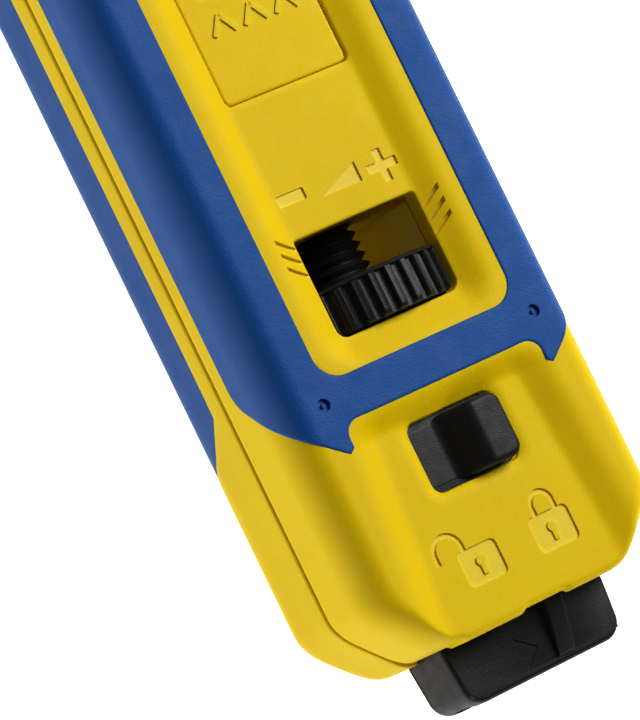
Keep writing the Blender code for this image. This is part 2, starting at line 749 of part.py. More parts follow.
def build_seating_blade():
    """Blade with one forked tooth per wire."""
    low, high = BLADE_N
    root = low + TOOTH_DEPTH
    first, last = TOOTH_GAP
    pitch = 2 * BLADE_HALF_WIDTH / TEETH
    outline = [(BLADE_HALF_WIDTH, high), (-BLADE_HALF_WIDTH, high)]
    for tooth in range(TEETH):
        left = -BLADE_HALF_WIDTH + tooth * pitch
        for share, n in ((0.0, low), (first, low), (first, root), (last, root), (last, low)):
            outline.append((left + share * pitch, n))
    outline.append((BLADE_HALF_WIDTH, low))
    return prism_up("seating_blade", outline, *SEATING_BLADE_Z)


def build_cutting_blade():
    low, high = BLADE_N
    under, over = CUTTING_BLADE_Z
    outline = [(high, under), (high, over), (low + 1.0, over), (low, under + 0.1), (low, under)]
    return prism_across("cutting_blade", outline, -BLADE_HALF_WIDTH, BLADE_HALF_WIDTH)


# ---------------------------------------------------------------- lock

def knob_outline():
    """Side view of the thumb knob across the tool: a round flank up to a level land."""
    low = SKIRT_Z[1] - SINK
    points = [(KNOB_LEFT_X, low), (KNOB_LEFT_X, KNOB_STEP_Z - KNOB_BEVEL)]
    for step in range(8):
        angle = math.radians(90 * step / 7)
        x = KNOB_LAND_X - (KNOB_LAND_X - KNOB_LEFT_X) * math.cos(angle)
        z = KNOB_STEP_Z + (KNOB_TOP_Z - KNOB_STEP_Z) * math.sin(angle)
        points.append((x, z))
    points += [(KNOB_RIGHT_X - KNOB_BEVEL, KNOB_TOP_Z), (KNOB_RIGHT_X, KNOB_TOP_Z - KNOB_BEVEL)]
    points.append((KNOB_RIGHT_X, low))
    return points


def build_lock_slider():
    slider = box("lock_slider", SKIRT_X, SKIRT_N, SKIRT_Z)
    join(slider, prism_along("knob", knob_outline(), *KNOB_N))
    for sign in (-1, 1):
        peg = rod_up("peg", PEG_RADIUS, (sign * PEG_X, PEG_N), (YOKE_Z[0] - SINK, SKIRT_Z[0] + SINK), 12)
        join(slider, peg)
    return slider


def build_lock_yoke():
    yoke = box("lock_yoke", (-YOKE_HALF_WIDTH, YOKE_HALF_WIDTH), YOKE_N, YOKE_Z)
    for sign in (-1, 1):
        xs = sorted((sign * PRONG_X[0], sign * PRONG_X[1]))
        join(yoke, box("prong", xs, PRONG_N, (PRONG_LOW_Z, YOKE_Z[0] + SINK)))
        hole = PEG_RADIUS + GAP
        cut(yoke, rod_up("peg_hole", hole, (sign * PEG_X, PEG_N), (YOKE_Z[0] - 1, YOKE_Z[1] + 1), 12))
    return yoke


def build_detent_spring():
    """Steel strip arched up under the slider's skirt."""
    half = DETENT_HALF_LENGTH
    steps = 8
    upper = []
    for step in range(steps + 1):
        x = -half + 2 * half * step / steps
        rise = DETENT_RISE * math.cos(math.pi * x / (2 * half))
        upper.append((x, DETENT_FOOT_Z + rise))
    lower = [(x, z - DETENT_THICK) for x, z in reversed(upper)]
    return prism_along("detent_spring", upper + lower, *DETENT_N)


# ---------------------------------------------------------------- blade store

def build_lid():
    """Rocking lid: pressing its marked end tips the other end up."""
    outline = rounded_outline((-LID_HALF_WIDTH, LID_HALF_WIDTH), LID_N, LID_CORNER)
    lid = prism_up("store_lid", outline, *LID_Z)
    knuckle_n = (LID_PIN_N - LID_KNUCKLE, LID_PIN_N + LID_KNUCKLE)
    knuckle_z = (LID_PIN_Z - LID_KNUCKLE, LID_Z[0] + 0.4)
    join(lid, box("knuckle", (-LID_HALF_WIDTH + 0.2, LID_HALF_WIDTH - 0.2), knuckle_n, knuckle_z))
    slot_x = (-LID_SLOT_HALF_WIDTH, LID_SLOT_HALF_WIDTH)
    cut(lid, prism_up("finger_slot", rounded_outline(slot_x, LID_SLOT_N, 0.4), 0.0, FAR))
    hole = circle(LID_PIN_RADIUS + JOINT_GAP, 16, (LID_PIN_N, LID_PIN_Z))
    return cut(lid, prism_across("pin_bore", hole, -FAR, FAR))


def build_tray():
    outline = rounded_outline((-TRAY_HALF_WIDTH, TRAY_HALF_WIDTH), TRAY_N, 1.2)
    tray = prism_up("blade_tray", outline, *TRAY_Z)
    inner_x = TRAY_HALF_WIDTH - TRAY_WALL
    inner_n = (TRAY_N[0] + TRAY_WALL, TRAY_N[1] - TRAY_WALL)
    inner = rounded_outline((-inner_x, inner_x), inner_n, 0.8)
    return cut(tray, prism_up("hollow", inner, TRAY_Z[0] + TRAY_WALL, FAR))


def build_spare_blade(index, x, reach):
    """Single-wire blade: round shank with a flat, forked end."""
    start, end = SPARE_N
    root = start + reach
    shank = prism_along(f"spare_blade_{index}", circle(SPARE_RADIUS, 18, (x, SPARE_Z)), root, end)
    flat = [
        (start, SPARE_Z - SPARE_TIP_HALF_HEIGHT),
        (root + 1, SPARE_Z - SPARE_ROOT_HALF_HEIGHT),
        (root + 1, SPARE_Z + SPARE_ROOT_HALF_HEIGHT),
        (start, SPARE_Z + SPARE_TIP_HALF_HEIGHT),
    ]
    join(shank, prism_across("flat", flat, x - SPARE_FLAT_HALF_WIDTH, x + SPARE_FLAT_HALF_WIDTH))
    fork_x = (x - SPARE_FORK_HALF_WIDTH, x + SPARE_FORK_HALF_WIDTH)
    return cut(shank, box("fork", fork_x, (start - 1, start + SPARE_FORK_DEPTH), (-FAR, FAR)))


# ---------------------------------------------------------------- assembly

def finish(obj, material):
    """Material and shading."""
    obj.data.materials.clear()
    obj.data.materials.append(material)
    obj.data.shade_smooth()
    obj.data.set_sharp_from_angle(angle=math.radians(SHARP_ANGLE))
    return obj


def set_origin(obj, x, n, z):
    """Moves the origin of a turning piece onto its axis."""
    origin = place(x, n, z)
    for vertex in obj.data.vertices:
        vertex.co = [value - shift for value, shift in zip(vertex.co, origin)]
    obj.location = origin


def main():
    clear_scene()
    yellow = make_material("yellow_plastic", (0.80, 0.62, 0.01), 0.5)
    blue = make_material("blue_grip", (0.03, 0.13, 0.42), 0.7)
    black = make_material("black_plastic", (0.03, 0.03, 0.03), 0.55)
    grey = make_material("grey_plastic", (0.12, 0.12, 0.13), 0.6)
    steel = make_material("steel", (0.55, 0.55, 0.56), 0.35, 1.0)
    spring_steel = make_material("spring_steel", (0.45, 0.45, 0.47), 0.3, 1.0)
    screw_steel = make_material("black_steel", (0.10, 0.10, 0.11), 0.4, 1.0)

    finish(build_front_shell(), yellow)
    finish(build_rear_shell(), yellow)
    finish(grip_form("front_grip", 1, 0.0, GRIP_THICK, 0.0), blue)
    rear_depth = GRIP_THICK + GRIP_BACK_SINK
    finish(grip_form("rear_grip", -1, GRIP_BACK_SINK, rear_depth, 0.0), blue)
    for index, (x, n) in enumerate(screw_places(), 1):
        finish(build_screw(index, x, n), screw_steel)

    wheel = finish(build_wheel(), black)
    set_origin(wheel, 0, sum(WHEEL_N) / 2, 0)
    finish(build_sleeve(), black)
    finish(build_spring_seat(), steel)

    finish(build_ram(), steel)
    wire = (RETURN_SPRING_RADIUS, RETURN_SPRING_WIRE, RETURN_SPRING_N, RETURN_SPRING_TURNS)
    finish(coil("return_spring", *wire), spring_steel)
    finish(build_hammer(), steel)
    wire = (SPRING_RADIUS, SPRING_WIRE, SPRING_N, SPRING_TURNS)
    finish(coil("impact_spring", *wire), spring_steel)
    finish(build_trip_latch(), steel)
    finish(build_trip_cam(), steel)

    finish(build_head(), black)
    finish(build_seating_blade(), steel)
    finish(build_cutting_blade(), steel)

    finish(build_lock_slider(), black)
    finish(build_lock_yoke(), steel)
    finish(build_detent_spring(), spring_steel)

    lid = finish(build_lid(), yellow)
    set_origin(lid, 0, LID_PIN_N, LID_PIN_Z)
    pin = circle(LID_PIN_RADIUS, 16, (LID_PIN_N, LID_PIN_Z))
    finish(prism_across("lid_pin", pin, -LID_PIN_HALF_LENGTH, LID_PIN_HALF_LENGTH), steel)
    finish(build_tray(), grey)
    finish(build_spare_blade(1, -SPARE_X, 9.0), steel)
    finish(build_spare_blade(2, SPARE_X, 12.0), steel)


main()
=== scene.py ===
"""Looks of the punch down tool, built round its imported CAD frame.

Shapes are worked out in design millimetres: x across the tool, n along it from the blade
end, z up from the parting plane of the two shells. world() turns them into the row frame.
"""

import math

import bmesh
import bpy
import numpy as np
from mathutils import Matrix, Vector

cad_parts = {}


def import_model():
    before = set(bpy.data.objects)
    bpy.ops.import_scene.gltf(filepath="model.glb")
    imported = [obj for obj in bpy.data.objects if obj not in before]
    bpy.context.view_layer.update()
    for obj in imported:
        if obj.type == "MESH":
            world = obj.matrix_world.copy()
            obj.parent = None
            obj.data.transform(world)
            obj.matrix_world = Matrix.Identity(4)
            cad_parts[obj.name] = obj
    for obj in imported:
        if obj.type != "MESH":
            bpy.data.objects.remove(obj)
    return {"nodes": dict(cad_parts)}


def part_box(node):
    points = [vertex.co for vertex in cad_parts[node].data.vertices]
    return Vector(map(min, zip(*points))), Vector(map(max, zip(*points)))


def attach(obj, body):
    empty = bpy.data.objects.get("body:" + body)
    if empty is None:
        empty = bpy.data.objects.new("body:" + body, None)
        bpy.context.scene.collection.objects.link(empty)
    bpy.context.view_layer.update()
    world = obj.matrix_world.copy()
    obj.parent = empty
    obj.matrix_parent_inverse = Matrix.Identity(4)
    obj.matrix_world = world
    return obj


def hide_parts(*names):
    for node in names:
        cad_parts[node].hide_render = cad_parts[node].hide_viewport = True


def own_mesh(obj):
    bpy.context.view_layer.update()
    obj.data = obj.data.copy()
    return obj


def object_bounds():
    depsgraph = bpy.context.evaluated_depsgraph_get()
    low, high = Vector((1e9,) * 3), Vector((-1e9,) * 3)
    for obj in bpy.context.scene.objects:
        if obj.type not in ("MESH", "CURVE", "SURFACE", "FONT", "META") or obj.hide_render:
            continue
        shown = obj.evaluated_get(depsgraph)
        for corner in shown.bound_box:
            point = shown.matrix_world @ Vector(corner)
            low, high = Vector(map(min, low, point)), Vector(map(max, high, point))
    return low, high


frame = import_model()
CAD_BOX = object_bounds()

MM = 0.001
JOINT_GAP = 0.15

# Housing, as the CAD shells have it
SHELL_START = 7.0
LENGTH = 170.0
HALF_WIDTH = 20.0
FRONT_HEIGHT = 12.0
BACK_HEIGHT = 13.0
SHELL_WALL = 2.8
CORNER_X = 3.6
CORNER_Z = 5.6
NOSE_HALF_WIDTH = 13.5
NOSE_FLARE = 0.95
NOSE_ROUND = 1.0
NOSE_BLEND = 2.0
FACE_ROUND_LENGTH = 4.0
FACE_ROUND_DROP = 2.6
TAPER_START = 95.0
TAIL_START = 154.0
TAIL_HALF_WIDTH = 18.4
TAIL_REACH = 16.0
TAIL_POWER = 2.6

# Head mouth in the shells' end wall
MOUTH_X = 11.8
MOUTH_TOP_Z = 5.4
MOUTH_RIDGE_Z = 7.0
MOUTH_LOW_Z = -4.8
MOUTH_DEPTH = 2.6
NOTCH_X = (-0.6, 5.0)
NOTCH_TOP_Z = 8.5
HEAD_RIB_X = (1.8, 4.0)
CROWN_HALF_WIDTH = 10.4
CROWN_RISE = 1.6
CROWN_N = (0.9, 12.8)

# Grips
SHELL_INSET = 0.14
GRIP_DEPTH = 1.0
GRIP_BED = 1.3
GRIP_BACK_SINK = 0.1
GRIP_LOW_U = 2.8
GRIP_START_SIDE = 41.5
GRIP_FACE_U = 16.6
SCREW_ACCESS_RADIUS = 3.3
GRIP_END = 160.0
PANEL_HALF_WIDTH = 13.25
PANEL_N = (39.3, 134.0)
BACK_PANEL_N = (39.3, 60.0)
PANEL_CORNER = 3.0
POCKET_EDGE = (13.3, 34.3)

# Recesses of the front face
RECESS_FLOOR_Z = 10.4
RECESS_FOOT_X = 8.4
RECESS_FOOT_N = (42.6, 129.2)
RECESS_FOOT_CORNER = 1.2
RECESS_SLOPE = 0.49
POCKET_FLOOR_Z = 10.4
POCKET_FOOT_X = 9.9
POCKET_FOOT_N = 31.7
POCKET_FLARE = 0.087
POCKET_SIDE_SLOPE = 0.43
POCKET_TOP_SLOPE = 0.62
POCKET_SIDE_ROUND = 1.0
POCKET_TOP_ROUND = 0.66
FOOT_BLEND = 0.12
RIM_BLEND = 0.45
RECESS_SPLIT_N = 36.5
DISH_DEPTH = 0.42
DISH_REACH = 1.5
LOCK_ROOF = ((-13.6, 11.0), (21.8, 32.2), 9.6)
LIP_NOTCH_DEPTH = 0.4
WINDOW_HALF_WIDTH = 8.2
WINDOW_N = (43.0, 55.1)
LOCK_OPENING_HALF_WIDTH = 6.0
LOCK_OPENING_N = (22.9, 31.3)
LID_N = (71.8, 126.0)
LID_HALF_WIDTH = 8.2
LID_GAP = 0.12
WHEEL_CHAMBER_RADIUS = 12.8
WHEEL_CHAMBER_N = (42.4, 55.4)
CHAMBER_OUTER_RADIUS = 14.0
CHAMBER_RIB_RADIUS = 16.9
CHAMBER_RIB_TOP = 8.8
CHAMBER_RIB_LOW = 9.8
MECHANISM_BORE = 6.3
ADJUSTER_BORE = 4.6

GATE_X = 14.55
GATE_N = 37.05
GATE_FLOOR_Z = 11.55
GATE_SIDES = (-GATE_X, GATE_X)
SCREW_PLACES = [(sign * x, n) for x, n in ((14.6, 18.0), (13.4, 61.6), (12.0, 146.0)) for sign in (-1, 1)]


def design_origin():
    """World place of x 0, n 0, z 0, read from the frame."""
    low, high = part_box("front_shell")
    head_low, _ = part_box("blade_head")
    return np.array([(low.x + high.x) / 2, head_low.y, low.z - JOINT_GAP * MM])


ORIGIN = design_origin()


def world(points):
    return np.asarray(points, float) * MM + ORIGIN


# ---- making pieces

SHARP_ANGLE = 38
WELD_DISTANCE = 2e-6
SLIVER_LENGTH = 1e-7


def joined_mesh(name, solids, weld):
    """Mesh of closed solids, each a pair of design points and faces, facing outwards."""
    points, faces = [], []
    for solid_points, solid_faces in solids:
        start = len(points)
        points.extend(map(tuple, world(solid_points)))
        faces.extend([start + i for i in face] for face in solid_faces)
    mesh = bpy.data.meshes.new(name)
    mesh.from_pydata(points, [], faces)
    shape = bmesh.new()
    shape.from_mesh(mesh)
    if weld:
        bmesh.ops.remove_doubles(shape, verts=shape.verts, dist=WELD_DISTANCE)
        bmesh.ops.dissolve_degenerate(shape, edges=shape.edges, dist=SLIVER_LENGTH)
    bmesh.ops.recalc_face_normals(shape, faces=shape.faces)
    shape.to_mesh(mesh)
    shape.free()
    return mesh


def add_object(name, data):
    obj = bpy.data.objects.new(name, data)
    bpy.context.scene.collection.objects.link(obj)
    return obj


def shade(mesh, sharp=SHARP_ANGLE):
    mesh.shade_smooth()
    mesh.set_sharp_from_angle(angle=math.radians(sharp))


def make_piece(name, solids, material, body, stands_for=(), sharp=SHARP_ANGLE):
    """One object from closed solids, riding a body and filling a material slot."""
    mesh = joined_mesh(name, solids, weld=True)
    obj = add_object(name, mesh)
    mesh.materials.append(material)
    shade(mesh, sharp)
    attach(obj, body)
    if stands_for:
        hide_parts(*stands_for)
    return obj


def carve(obj, solids, finish=None):
    """Cuts closed solids out of a finished piece; the cut faces take the finish material."""
    mesh = joined_mesh("cutter", solids, weld=False)
    if finish is not None:
        if len(obj.data.materials) < 2:
            obj.data.materials.append(finish)
        for material in obj.data.materials:
            mesh.materials.append(material)
        mesh.polygons.foreach_set("material_index", [1] * len(mesh.polygons))
    tool = add_object("cutter", mesh)
    modifier = obj.modifiers.new("carve", "BOOLEAN")
    modifier.operation = "DIFFERENCE"
    modifier.solver = "EXACT"
    modifier.object = tool
    graph = bpy.context.evaluated_depsgraph_get()
    result = bpy.data.meshes.new_from_object(obj.evaluated_get(graph))
    obj.modifiers.clear()
    obj.data = result
    bpy.data.objects.remove(tool, do_unlink=True)
    shade(result)


def loft(rings):
    """Closed solid through rings of equally many points."""
    size = len(rings[0])
    points = [point for ring in rings for point in ring]
    faces = [list(range(size)), list(range(len(points) - size, len(points)))]
    for row in range(len(rings) - 1):
        low = row * size
        for i in range(size):
            j = (i + 1) % size
            faces.append([low + i, low + j, low + size + j, low + size + i])
    return points, faces


def prism_up(outline, low, high):
    """Outline of (x, n) points, extruded along z."""
    return loft([[(x, n, z) for x, n in outline] for z in (low, high)])


def prism_along(outline, start, end):
    """Outline of (x, z) points, extruded along n."""
    return loft([[(x, n, z) for x, z in outline] for n in (start, end)])


def shrunk(outline, amount):
    """Closed outline of (u, v) points moved inwards along its corners' bisectors."""
    ring = np.asarray(outline, float)
    before = ring - np.roll(ring, 1, 0)
    after = np.roll(ring, -1, 0) - ring
    before /= np.linalg.norm(before, axis=1)[:, None]
    after /= np.linalg.norm(after, axis=1)[:, None]
    inward = np.stack([-before[:, 1], before[:, 0]], 1) + np.stack([-after[:, 1], after[:, 0]], 1)
    area = np.sum(ring[:, 0] * np.roll(ring[:, 1], -1) - np.roll(ring[:, 0], -1) * ring[:, 1])
    inward *= np.sign(area)
    length = np.sum(inward ** 2, 1) / 2
    return ring + inward * (amount / np.maximum(length, 0.3))[:, None]


def soft_prism(outline, low, high, low_round, high_round, lay, steps=4):
    """Prism with rounded ends. lay(u, v, w) gives the design point of an outline point at w."""
    angles = [math.radians(90 * step / steps) for step in range(steps + 1)]
    rise = [(low + low_round * (1 - math.cos(a)), low_round * (1 - math.sin(a))) for a in angles]
    rise += [(high - high_round * (1 - math.sin(a)), high_round * (1 - math.cos(a))) for a in angles]
    return loft([[lay(u, v, w) for u, v in shrunk(outline, inset)] for w, inset in rise])


def up(u, v, w):
    return (u, v, w)


def across(u, v, w):
    return (w, u, v)


def round_rect(us, vs, radius, steps=6):
    if radius == 0:
        return [(us[0], vs[0]), (us[1], vs[0]), (us[1], vs[1]), (us[0], vs[1])]
    corners = ((us[1], vs[0], -90), (us[1], vs[1], 0), (us[0], vs[1], 90), (us[0], vs[0], 180))
    points = []
    for u, v, start in corners:
        centre_u = u - radius if u == us[1] else u + radius
        centre_v = v - radius if v == vs[1] else v + radius
        for step in range(steps + 1):
            angle = math.radians(start + 90 * step / steps)
            points.append((centre_u + radius * math.cos(angle), centre_v + radius * math.sin(angle)))
    return points


def circle(radius, steps, centre=(0.0, 0.0)):
    turns = [2 * math.pi * i / steps for i in range(steps)]
    return [(centre[0] + radius * math.cos(t), centre[1] + radius * math.sin(t)) for t in turns]


def arc(radius, degrees, count, centre=(0.0, 0.0), side=1):
    """Points on a circle from one angle to another; side -1 mirrors its second coordinate."""
    angles = np.radians(np.linspace(*degrees, count))
    return [(centre[0] + radius * math.cos(a), centre[1] + side * radius * math.sin(a)) for a in angles]


def turned(profile, steps=64):
    """Ring-shaped solid from a closed profile of (n, radius) about the tool's axis."""
    points, faces = [], []
    size = len(profile)
    for step in range(steps):
        angle = 2 * math.pi * step / steps
        points += [(r * math.cos(angle), n, r * math.sin(angle)) for n, r in profile]
    for step in range(steps):
        low, high = step * size, ((step + 1) % steps) * size
        for i in range(size):
            j = (i + 1) % size
            faces.append([low + i, low + j, high + j, high + i])
    return points, faces


# ---- housing surface

def soft_least(a, b, blend):
    mix = np.maximum(blend - np.abs(a - b), 0.0) / blend
    return np.minimum(a, b) - mix * mix * blend / 4


def ramp(value):
    """0 to 1 with level ends."""
    t = np.clip(value, 0.0, 1.0)
    return t * t * (3 - 2 * t)


def tail_factor(n):
    reach = np.clip((n - TAIL_START) / TAIL_REACH, 0.0, 1.0)
    return (1 - reach ** TAIL_POWER) ** (1 / TAIL_POWER)


def half_width(n):
    from_nose = np.maximum(0.0, n - SHELL_START)
    flare = NOSE_HALF_WIDTH + NOSE_FLARE * from_nose
    lag = np.clip(NOSE_ROUND - from_nose, 0.0, NOSE_ROUND)
    flare = flare - (NOSE_ROUND - np.sqrt(NOSE_ROUND ** 2 - lag ** 2))
    taper = np.clip((n - TAPER_START) / (TAIL_START - TAPER_START), 0.0, 1.0)
    full = HALF_WIDTH + (TAIL_HALF_WIDTH - HALF_WIDTH) * taper
    return soft_least(full, flare, NOSE_BLEND)


def face_height(n, height):
    from_nose = np.maximum(0.0, n - SHELL_START)
    lag = np.clip(1 - from_nose / FACE_ROUND_LENGTH, 0.0, 1.0)
    return height - FACE_ROUND_DROP * (1 - np.sqrt(1 - lag ** 2))


def housing_rows(fine, middle, coarse):
    """Stations along the tool, close together at the nose and the tail."""
    nose = [SHELL_START + FACE_ROUND_LENGTH * (1 - math.cos(math.radians(a))) for a in range(0, 90, 10)]
    rows = nose + list(np.arange(nose[-1] + fine, 62.0, fine))
    rows += list(np.arange(rows[-1] + middle, 90.0, middle))
    rows += list(np.arange(rows[-1] + coarse, TAIL_START, coarse))
    tail = (*range(0, 90, 6), 87.5, 89.0, 89.95)
    rows += [TAIL_START + TAIL_REACH * math.sin(math.radians(a)) for a in tail]
    return np.array(rows)


def housing_grid(ns, side, inset, steps, low=JOINT_GAP + 0.25):
    """Points of the housing's skin over rows ns, with their distance u from the parting line."""
    wall_steps, corner_steps, face_steps = steps
    height = FRONT_HEIGHT if side > 0 else BACK_HEIGHT
    width = half_width(ns) - inset
    top = face_height(ns, height) - inset
    corner_x = max(0.8, CORNER_X - 0.6 * inset)
    corner_z = np.clip(top - low - 0.4, 0.8, CORNER_Z - 0.6 * inset)
    xs, zs = [], []
    for t in np.linspace(0, 1, wall_steps, endpoint=False):
        xs.append(width)
        zs.append(low + (top - corner_z - low) * t)
    for t in np.linspace(0, math.pi / 2, corner_steps, endpoint=False):
        xs.append(width - corner_x + corner_x * math.cos(t))
        zs.append(top - corner_z + corner_z * math.sin(t))
    for t in np.linspace(1, 0, face_steps + 1):
        xs.append((width - corner_x) * t)
        zs.append(top)
    x, z = np.array(xs).T, np.array(zs).T
    u = low + np.concatenate([np.zeros((len(ns), 1)), np.cumsum(np.hypot(np.diff(x), np.diff(z)), 1)], 1)
    x = np.concatenate([-x, x[:, -2::-1]], 1)
    z = np.concatenate([z, z[:, -2::-1]], 1)
    u = np.concatenate([u, u[:, -2::-1]], 1)
    shrink = tail_factor(ns)[:, None]
    x = x * shrink
    z = low + (z - low) * shrink
    n = np.repeat(ns[:, None], x.shape[1], 1)
    grid = np.stack([x, n, side * z], 2)
    if side < 0:
        grid, u = grid[:, ::-1], u[:, ::-1]
    return grid, u


def grid_normals(grid):
    across_rows = np.gradient(grid, axis=0)
    across_cols = np.gradient(grid, axis=1)
    normal = np.cross(across_cols, across_rows)
    return normal / np.maximum(np.linalg.norm(normal, axis=2), 1e-9)[:, :, None]


def rect_distance(x, n, xs, ns, radius):
    """Signed distance to a rectangle with round corners, below 0 inside."""
    middle_x, middle_n = sum(xs) / 2, sum(ns) / 2
    dx = np.abs(x - middle_x) - (xs[1] - xs[0]) / 2 + radius
    dn = np.abs(n - middle_n) - (ns[1] - ns[0]) / 2 + radius
    outside = np.hypot(np.maximum(dx, 0), np.maximum(dn, 0))
    return outside + np.minimum(np.maximum(dx, dn), 0) - radius


def grip_field(grid, u, side):
    """Distance inside the overmoulded area, below 0 where the yellow shell shows."""
    x, n = grid[..., 0], grid[..., 1]
    reach = np.minimum(u, GRIP_FACE_U) - GRIP_LOW_U
    start = GRIP_START_SIDE - 0.86 * reach + 0.004 * reach ** 2
    field = soft_least(u - GRIP_LOW_U, (n - start) * 0.76, 1.6)
    field = soft_least(field, GRIP_END - n, 4.0)
    panel_n = PANEL_N if side > 0 else BACK_PANEL_N
    on_face = np.abs(grid[..., 2]) > 8.0
    panel = rect_distance(x, n, (-PANEL_HALF_WIDTH, PANEL_HALF_WIDTH), panel_n, PANEL_CORNER)
    field = np.where(on_face, np.minimum(field, panel), field)
    if side > 0:
        edge_x, edge_n = POCKET_EDGE
        pocket = rect_distance(x, n, (-edge_x, edge_x), (-20.0, edge_n), 1.8)
        field = np.where(on_face, soft_least(field, pocket, 0.6), field)
    else:
        for screw_x, screw_n in SCREW_PLACES:
            hole = np.hypot(x - screw_x, n - screw_n) - SCREW_ACCESS_RADIUS
            field = np.where(on_face, np.minimum(field, hole), field)
    return field


# ---- skins to solids

def clip_grid(grid, field):
    """Faces of the grid where field is above 0, cut along the line where it is 0."""
    rows, cols = field.shape
    values = grid.reshape(rows * cols, -1)
    level = field.ravel()
    index, points, faces, crossed = {}, [], [], []

    def corner(k):
        if k not in index:
            index[k] = len(points)
            points.append(values[k])
            crossed.append(False)
        return index[k]

    def crossing(a, b):
        key = (min(a, b), max(a, b))
        if key not in index:
            share = level[key[0]] / (level[key[0]] - level[key[1]])
            index[key] = len(points)
            points.append(values[key[0]] + share * (values[key[1]] - values[key[0]]))
            crossed.append(True)
        return index[key]

    for row in range(rows - 1):
        for col in range(cols - 1):
            start = row * cols + col
            ring = (start, start + 1, start + cols + 1, start + cols)
            inside = [level[k] > 0 for k in ring]
            if not any(inside):
                continue
            face = []
            for i in range(4):
                j = (i + 1) % 4
                if inside[i]:
                    face.append(corner(ring[i]))
                if inside[i] != inside[j]:
                    face.append(crossing(ring[i], ring[j]))
            faces.append(face)
    return np.array(points), faces, np.array(crossed)


def fall_direction(grid, field):
    """Direction in the skin along which field falls fastest."""
    rise_row, rise_col = np.gradient(field)
    step_row, step_col = np.gradient(grid, axis=0), np.gradient(grid, axis=1)
    per_row = rise_row / np.maximum(np.sum(step_row ** 2, 2), 1e-9)
    per_col = rise_col / np.maximum(np.sum(step_col ** 2, 2), 1e-9)
    return -(per_row[:, :, None] * step_row + per_col[:, :, None] * step_col)


def skin_solid(top, bottom, field, rim, steps=3):
    """Closed solid between two grids where field is above rim, with round edges of that radius."""
    data = np.concatenate([top, bottom, grid_normals(top), fall_direction(top, field)], 2)
    values, faces, crossed = clip_grid(data, field - rim)
    upper, lower, normal = values[:, 0:3], values[:, 3:6], values[:, 6:9]
    used = dict.fromkeys((a, face[(i + 1) % len(face)]) for face in faces for i, a in enumerate(face))
    edges = [(a, b) for a, b in used if (b, a) not in used]
    outward = np.zeros_like(upper)
    for a, b in edges:
        line = upper[b] - upper[a]
        push = np.cross(line / max(np.linalg.norm(line), 1e-9), normal[a])
        outward[a] += push
        outward[b] += push
    outward[crossed] = values[crossed, 9:12]
    outward -= normal * np.sum(outward * normal, 1)[:, None]
    outward /= np.maximum(np.linalg.norm(outward, axis=1), 1e-9)[:, None]
    border = sorted({v for edge in edges for v in edge})
    place_of = {v: i for i, v in enumerate(border)}
    base = len(upper)
    points = [upper, lower]
    rings = [border]
    count = 2 * base
    for step in range(1, steps + 1):
        angle = math.radians(90 * step / steps)
        shift = outward[border] * rim * math.sin(angle) - normal[border] * rim * (1 - math.cos(angle))
        points.append(upper[border] + shift)
        rings.append(list(range(count, count + len(border))))
        count += len(border)
    points.append(lower[border] + outward[border] * rim)
    rings.append(list(range(count, count + len(border))))
    rings.append([v + base for v in border])
    solid_faces = list(faces) + [[v + base for v in reversed(face)] for face in faces]
    for near, far in zip(rings, rings[1:]):
        for a, b in edges:
            i, j = place_of[a], place_of[b]
            solid_faces.append([near[j], near[i], far[i], far[j]])
    return np.concatenate(points), solid_faces


# ---- housing pieces

def soft_above(value, blend):
    """Positive part of value, rounded over near 0."""
    return (value + np.sqrt(value ** 2 + blend ** 2)) / 2


def front_relief(x, n, z):
    """Height of the front face: the face itself, cut down by its two slant-sided recesses."""
    foot = rect_distance(x, n, (-RECESS_FOOT_X, RECESS_FOOT_X), RECESS_FOOT_N, RECESS_FOOT_CORNER)
    recess = RECESS_FLOOR_Z + soft_above(foot * RECESS_SLOPE, FOOT_BLEND)
    half = POCKET_FOOT_X + (POCKET_FOOT_N - n) * POCKET_FLARE
    over_x = np.maximum(np.abs(x) - half + POCKET_SIDE_ROUND, 0) * POCKET_SIDE_SLOPE
    over_n = np.maximum(n - POCKET_FOOT_N + POCKET_TOP_ROUND, 0) * POCKET_TOP_SLOPE
    gap = rect_distance(x, n, (-LOCK_OPENING_HALF_WIDTH, LOCK_OPENING_HALF_WIDTH), LOCK_OPENING_N, 1.3)
    dish = DISH_DEPTH * np.clip(1 - gap / DISH_REACH, 0.0, 1.0) ** 2
    rise = np.hypot(over_x, over_n) - POCKET_SIDE_ROUND * POCKET_SIDE_SLOPE
    pocket = POCKET_FLOOR_Z - dish + soft_above(rise, FOOT_BLEND)
    surface = np.where(n > RECESS_SPLIT_N, recess, pocket)
    return soft_least(z, surface, RIM_BLEND)


def lip_notch(x):
    """How far the shell's end is set back at x: over the head's rib and at the left corner."""
    over_rib = ramp((x + 2.6) / 1.0) * ramp((4.3 - x) / 0.6)
    at_corner = ramp((-9.9 - x) / 0.6)
    return LIP_NOTCH_DEPTH * (over_rib + at_corner)


def mouth_top(x):
    """Upper edge of the mouth, arched to clear the head's crown."""
    left, right = HEAD_RIB_X
    heights = [MOUTH_TOP_Z, MOUTH_RIDGE_Z, MOUTH_RIDGE_Z, MOUTH_TOP_Z]
    return np.interp(x, [-MOUTH_X, left, right, MOUTH_X], heights)


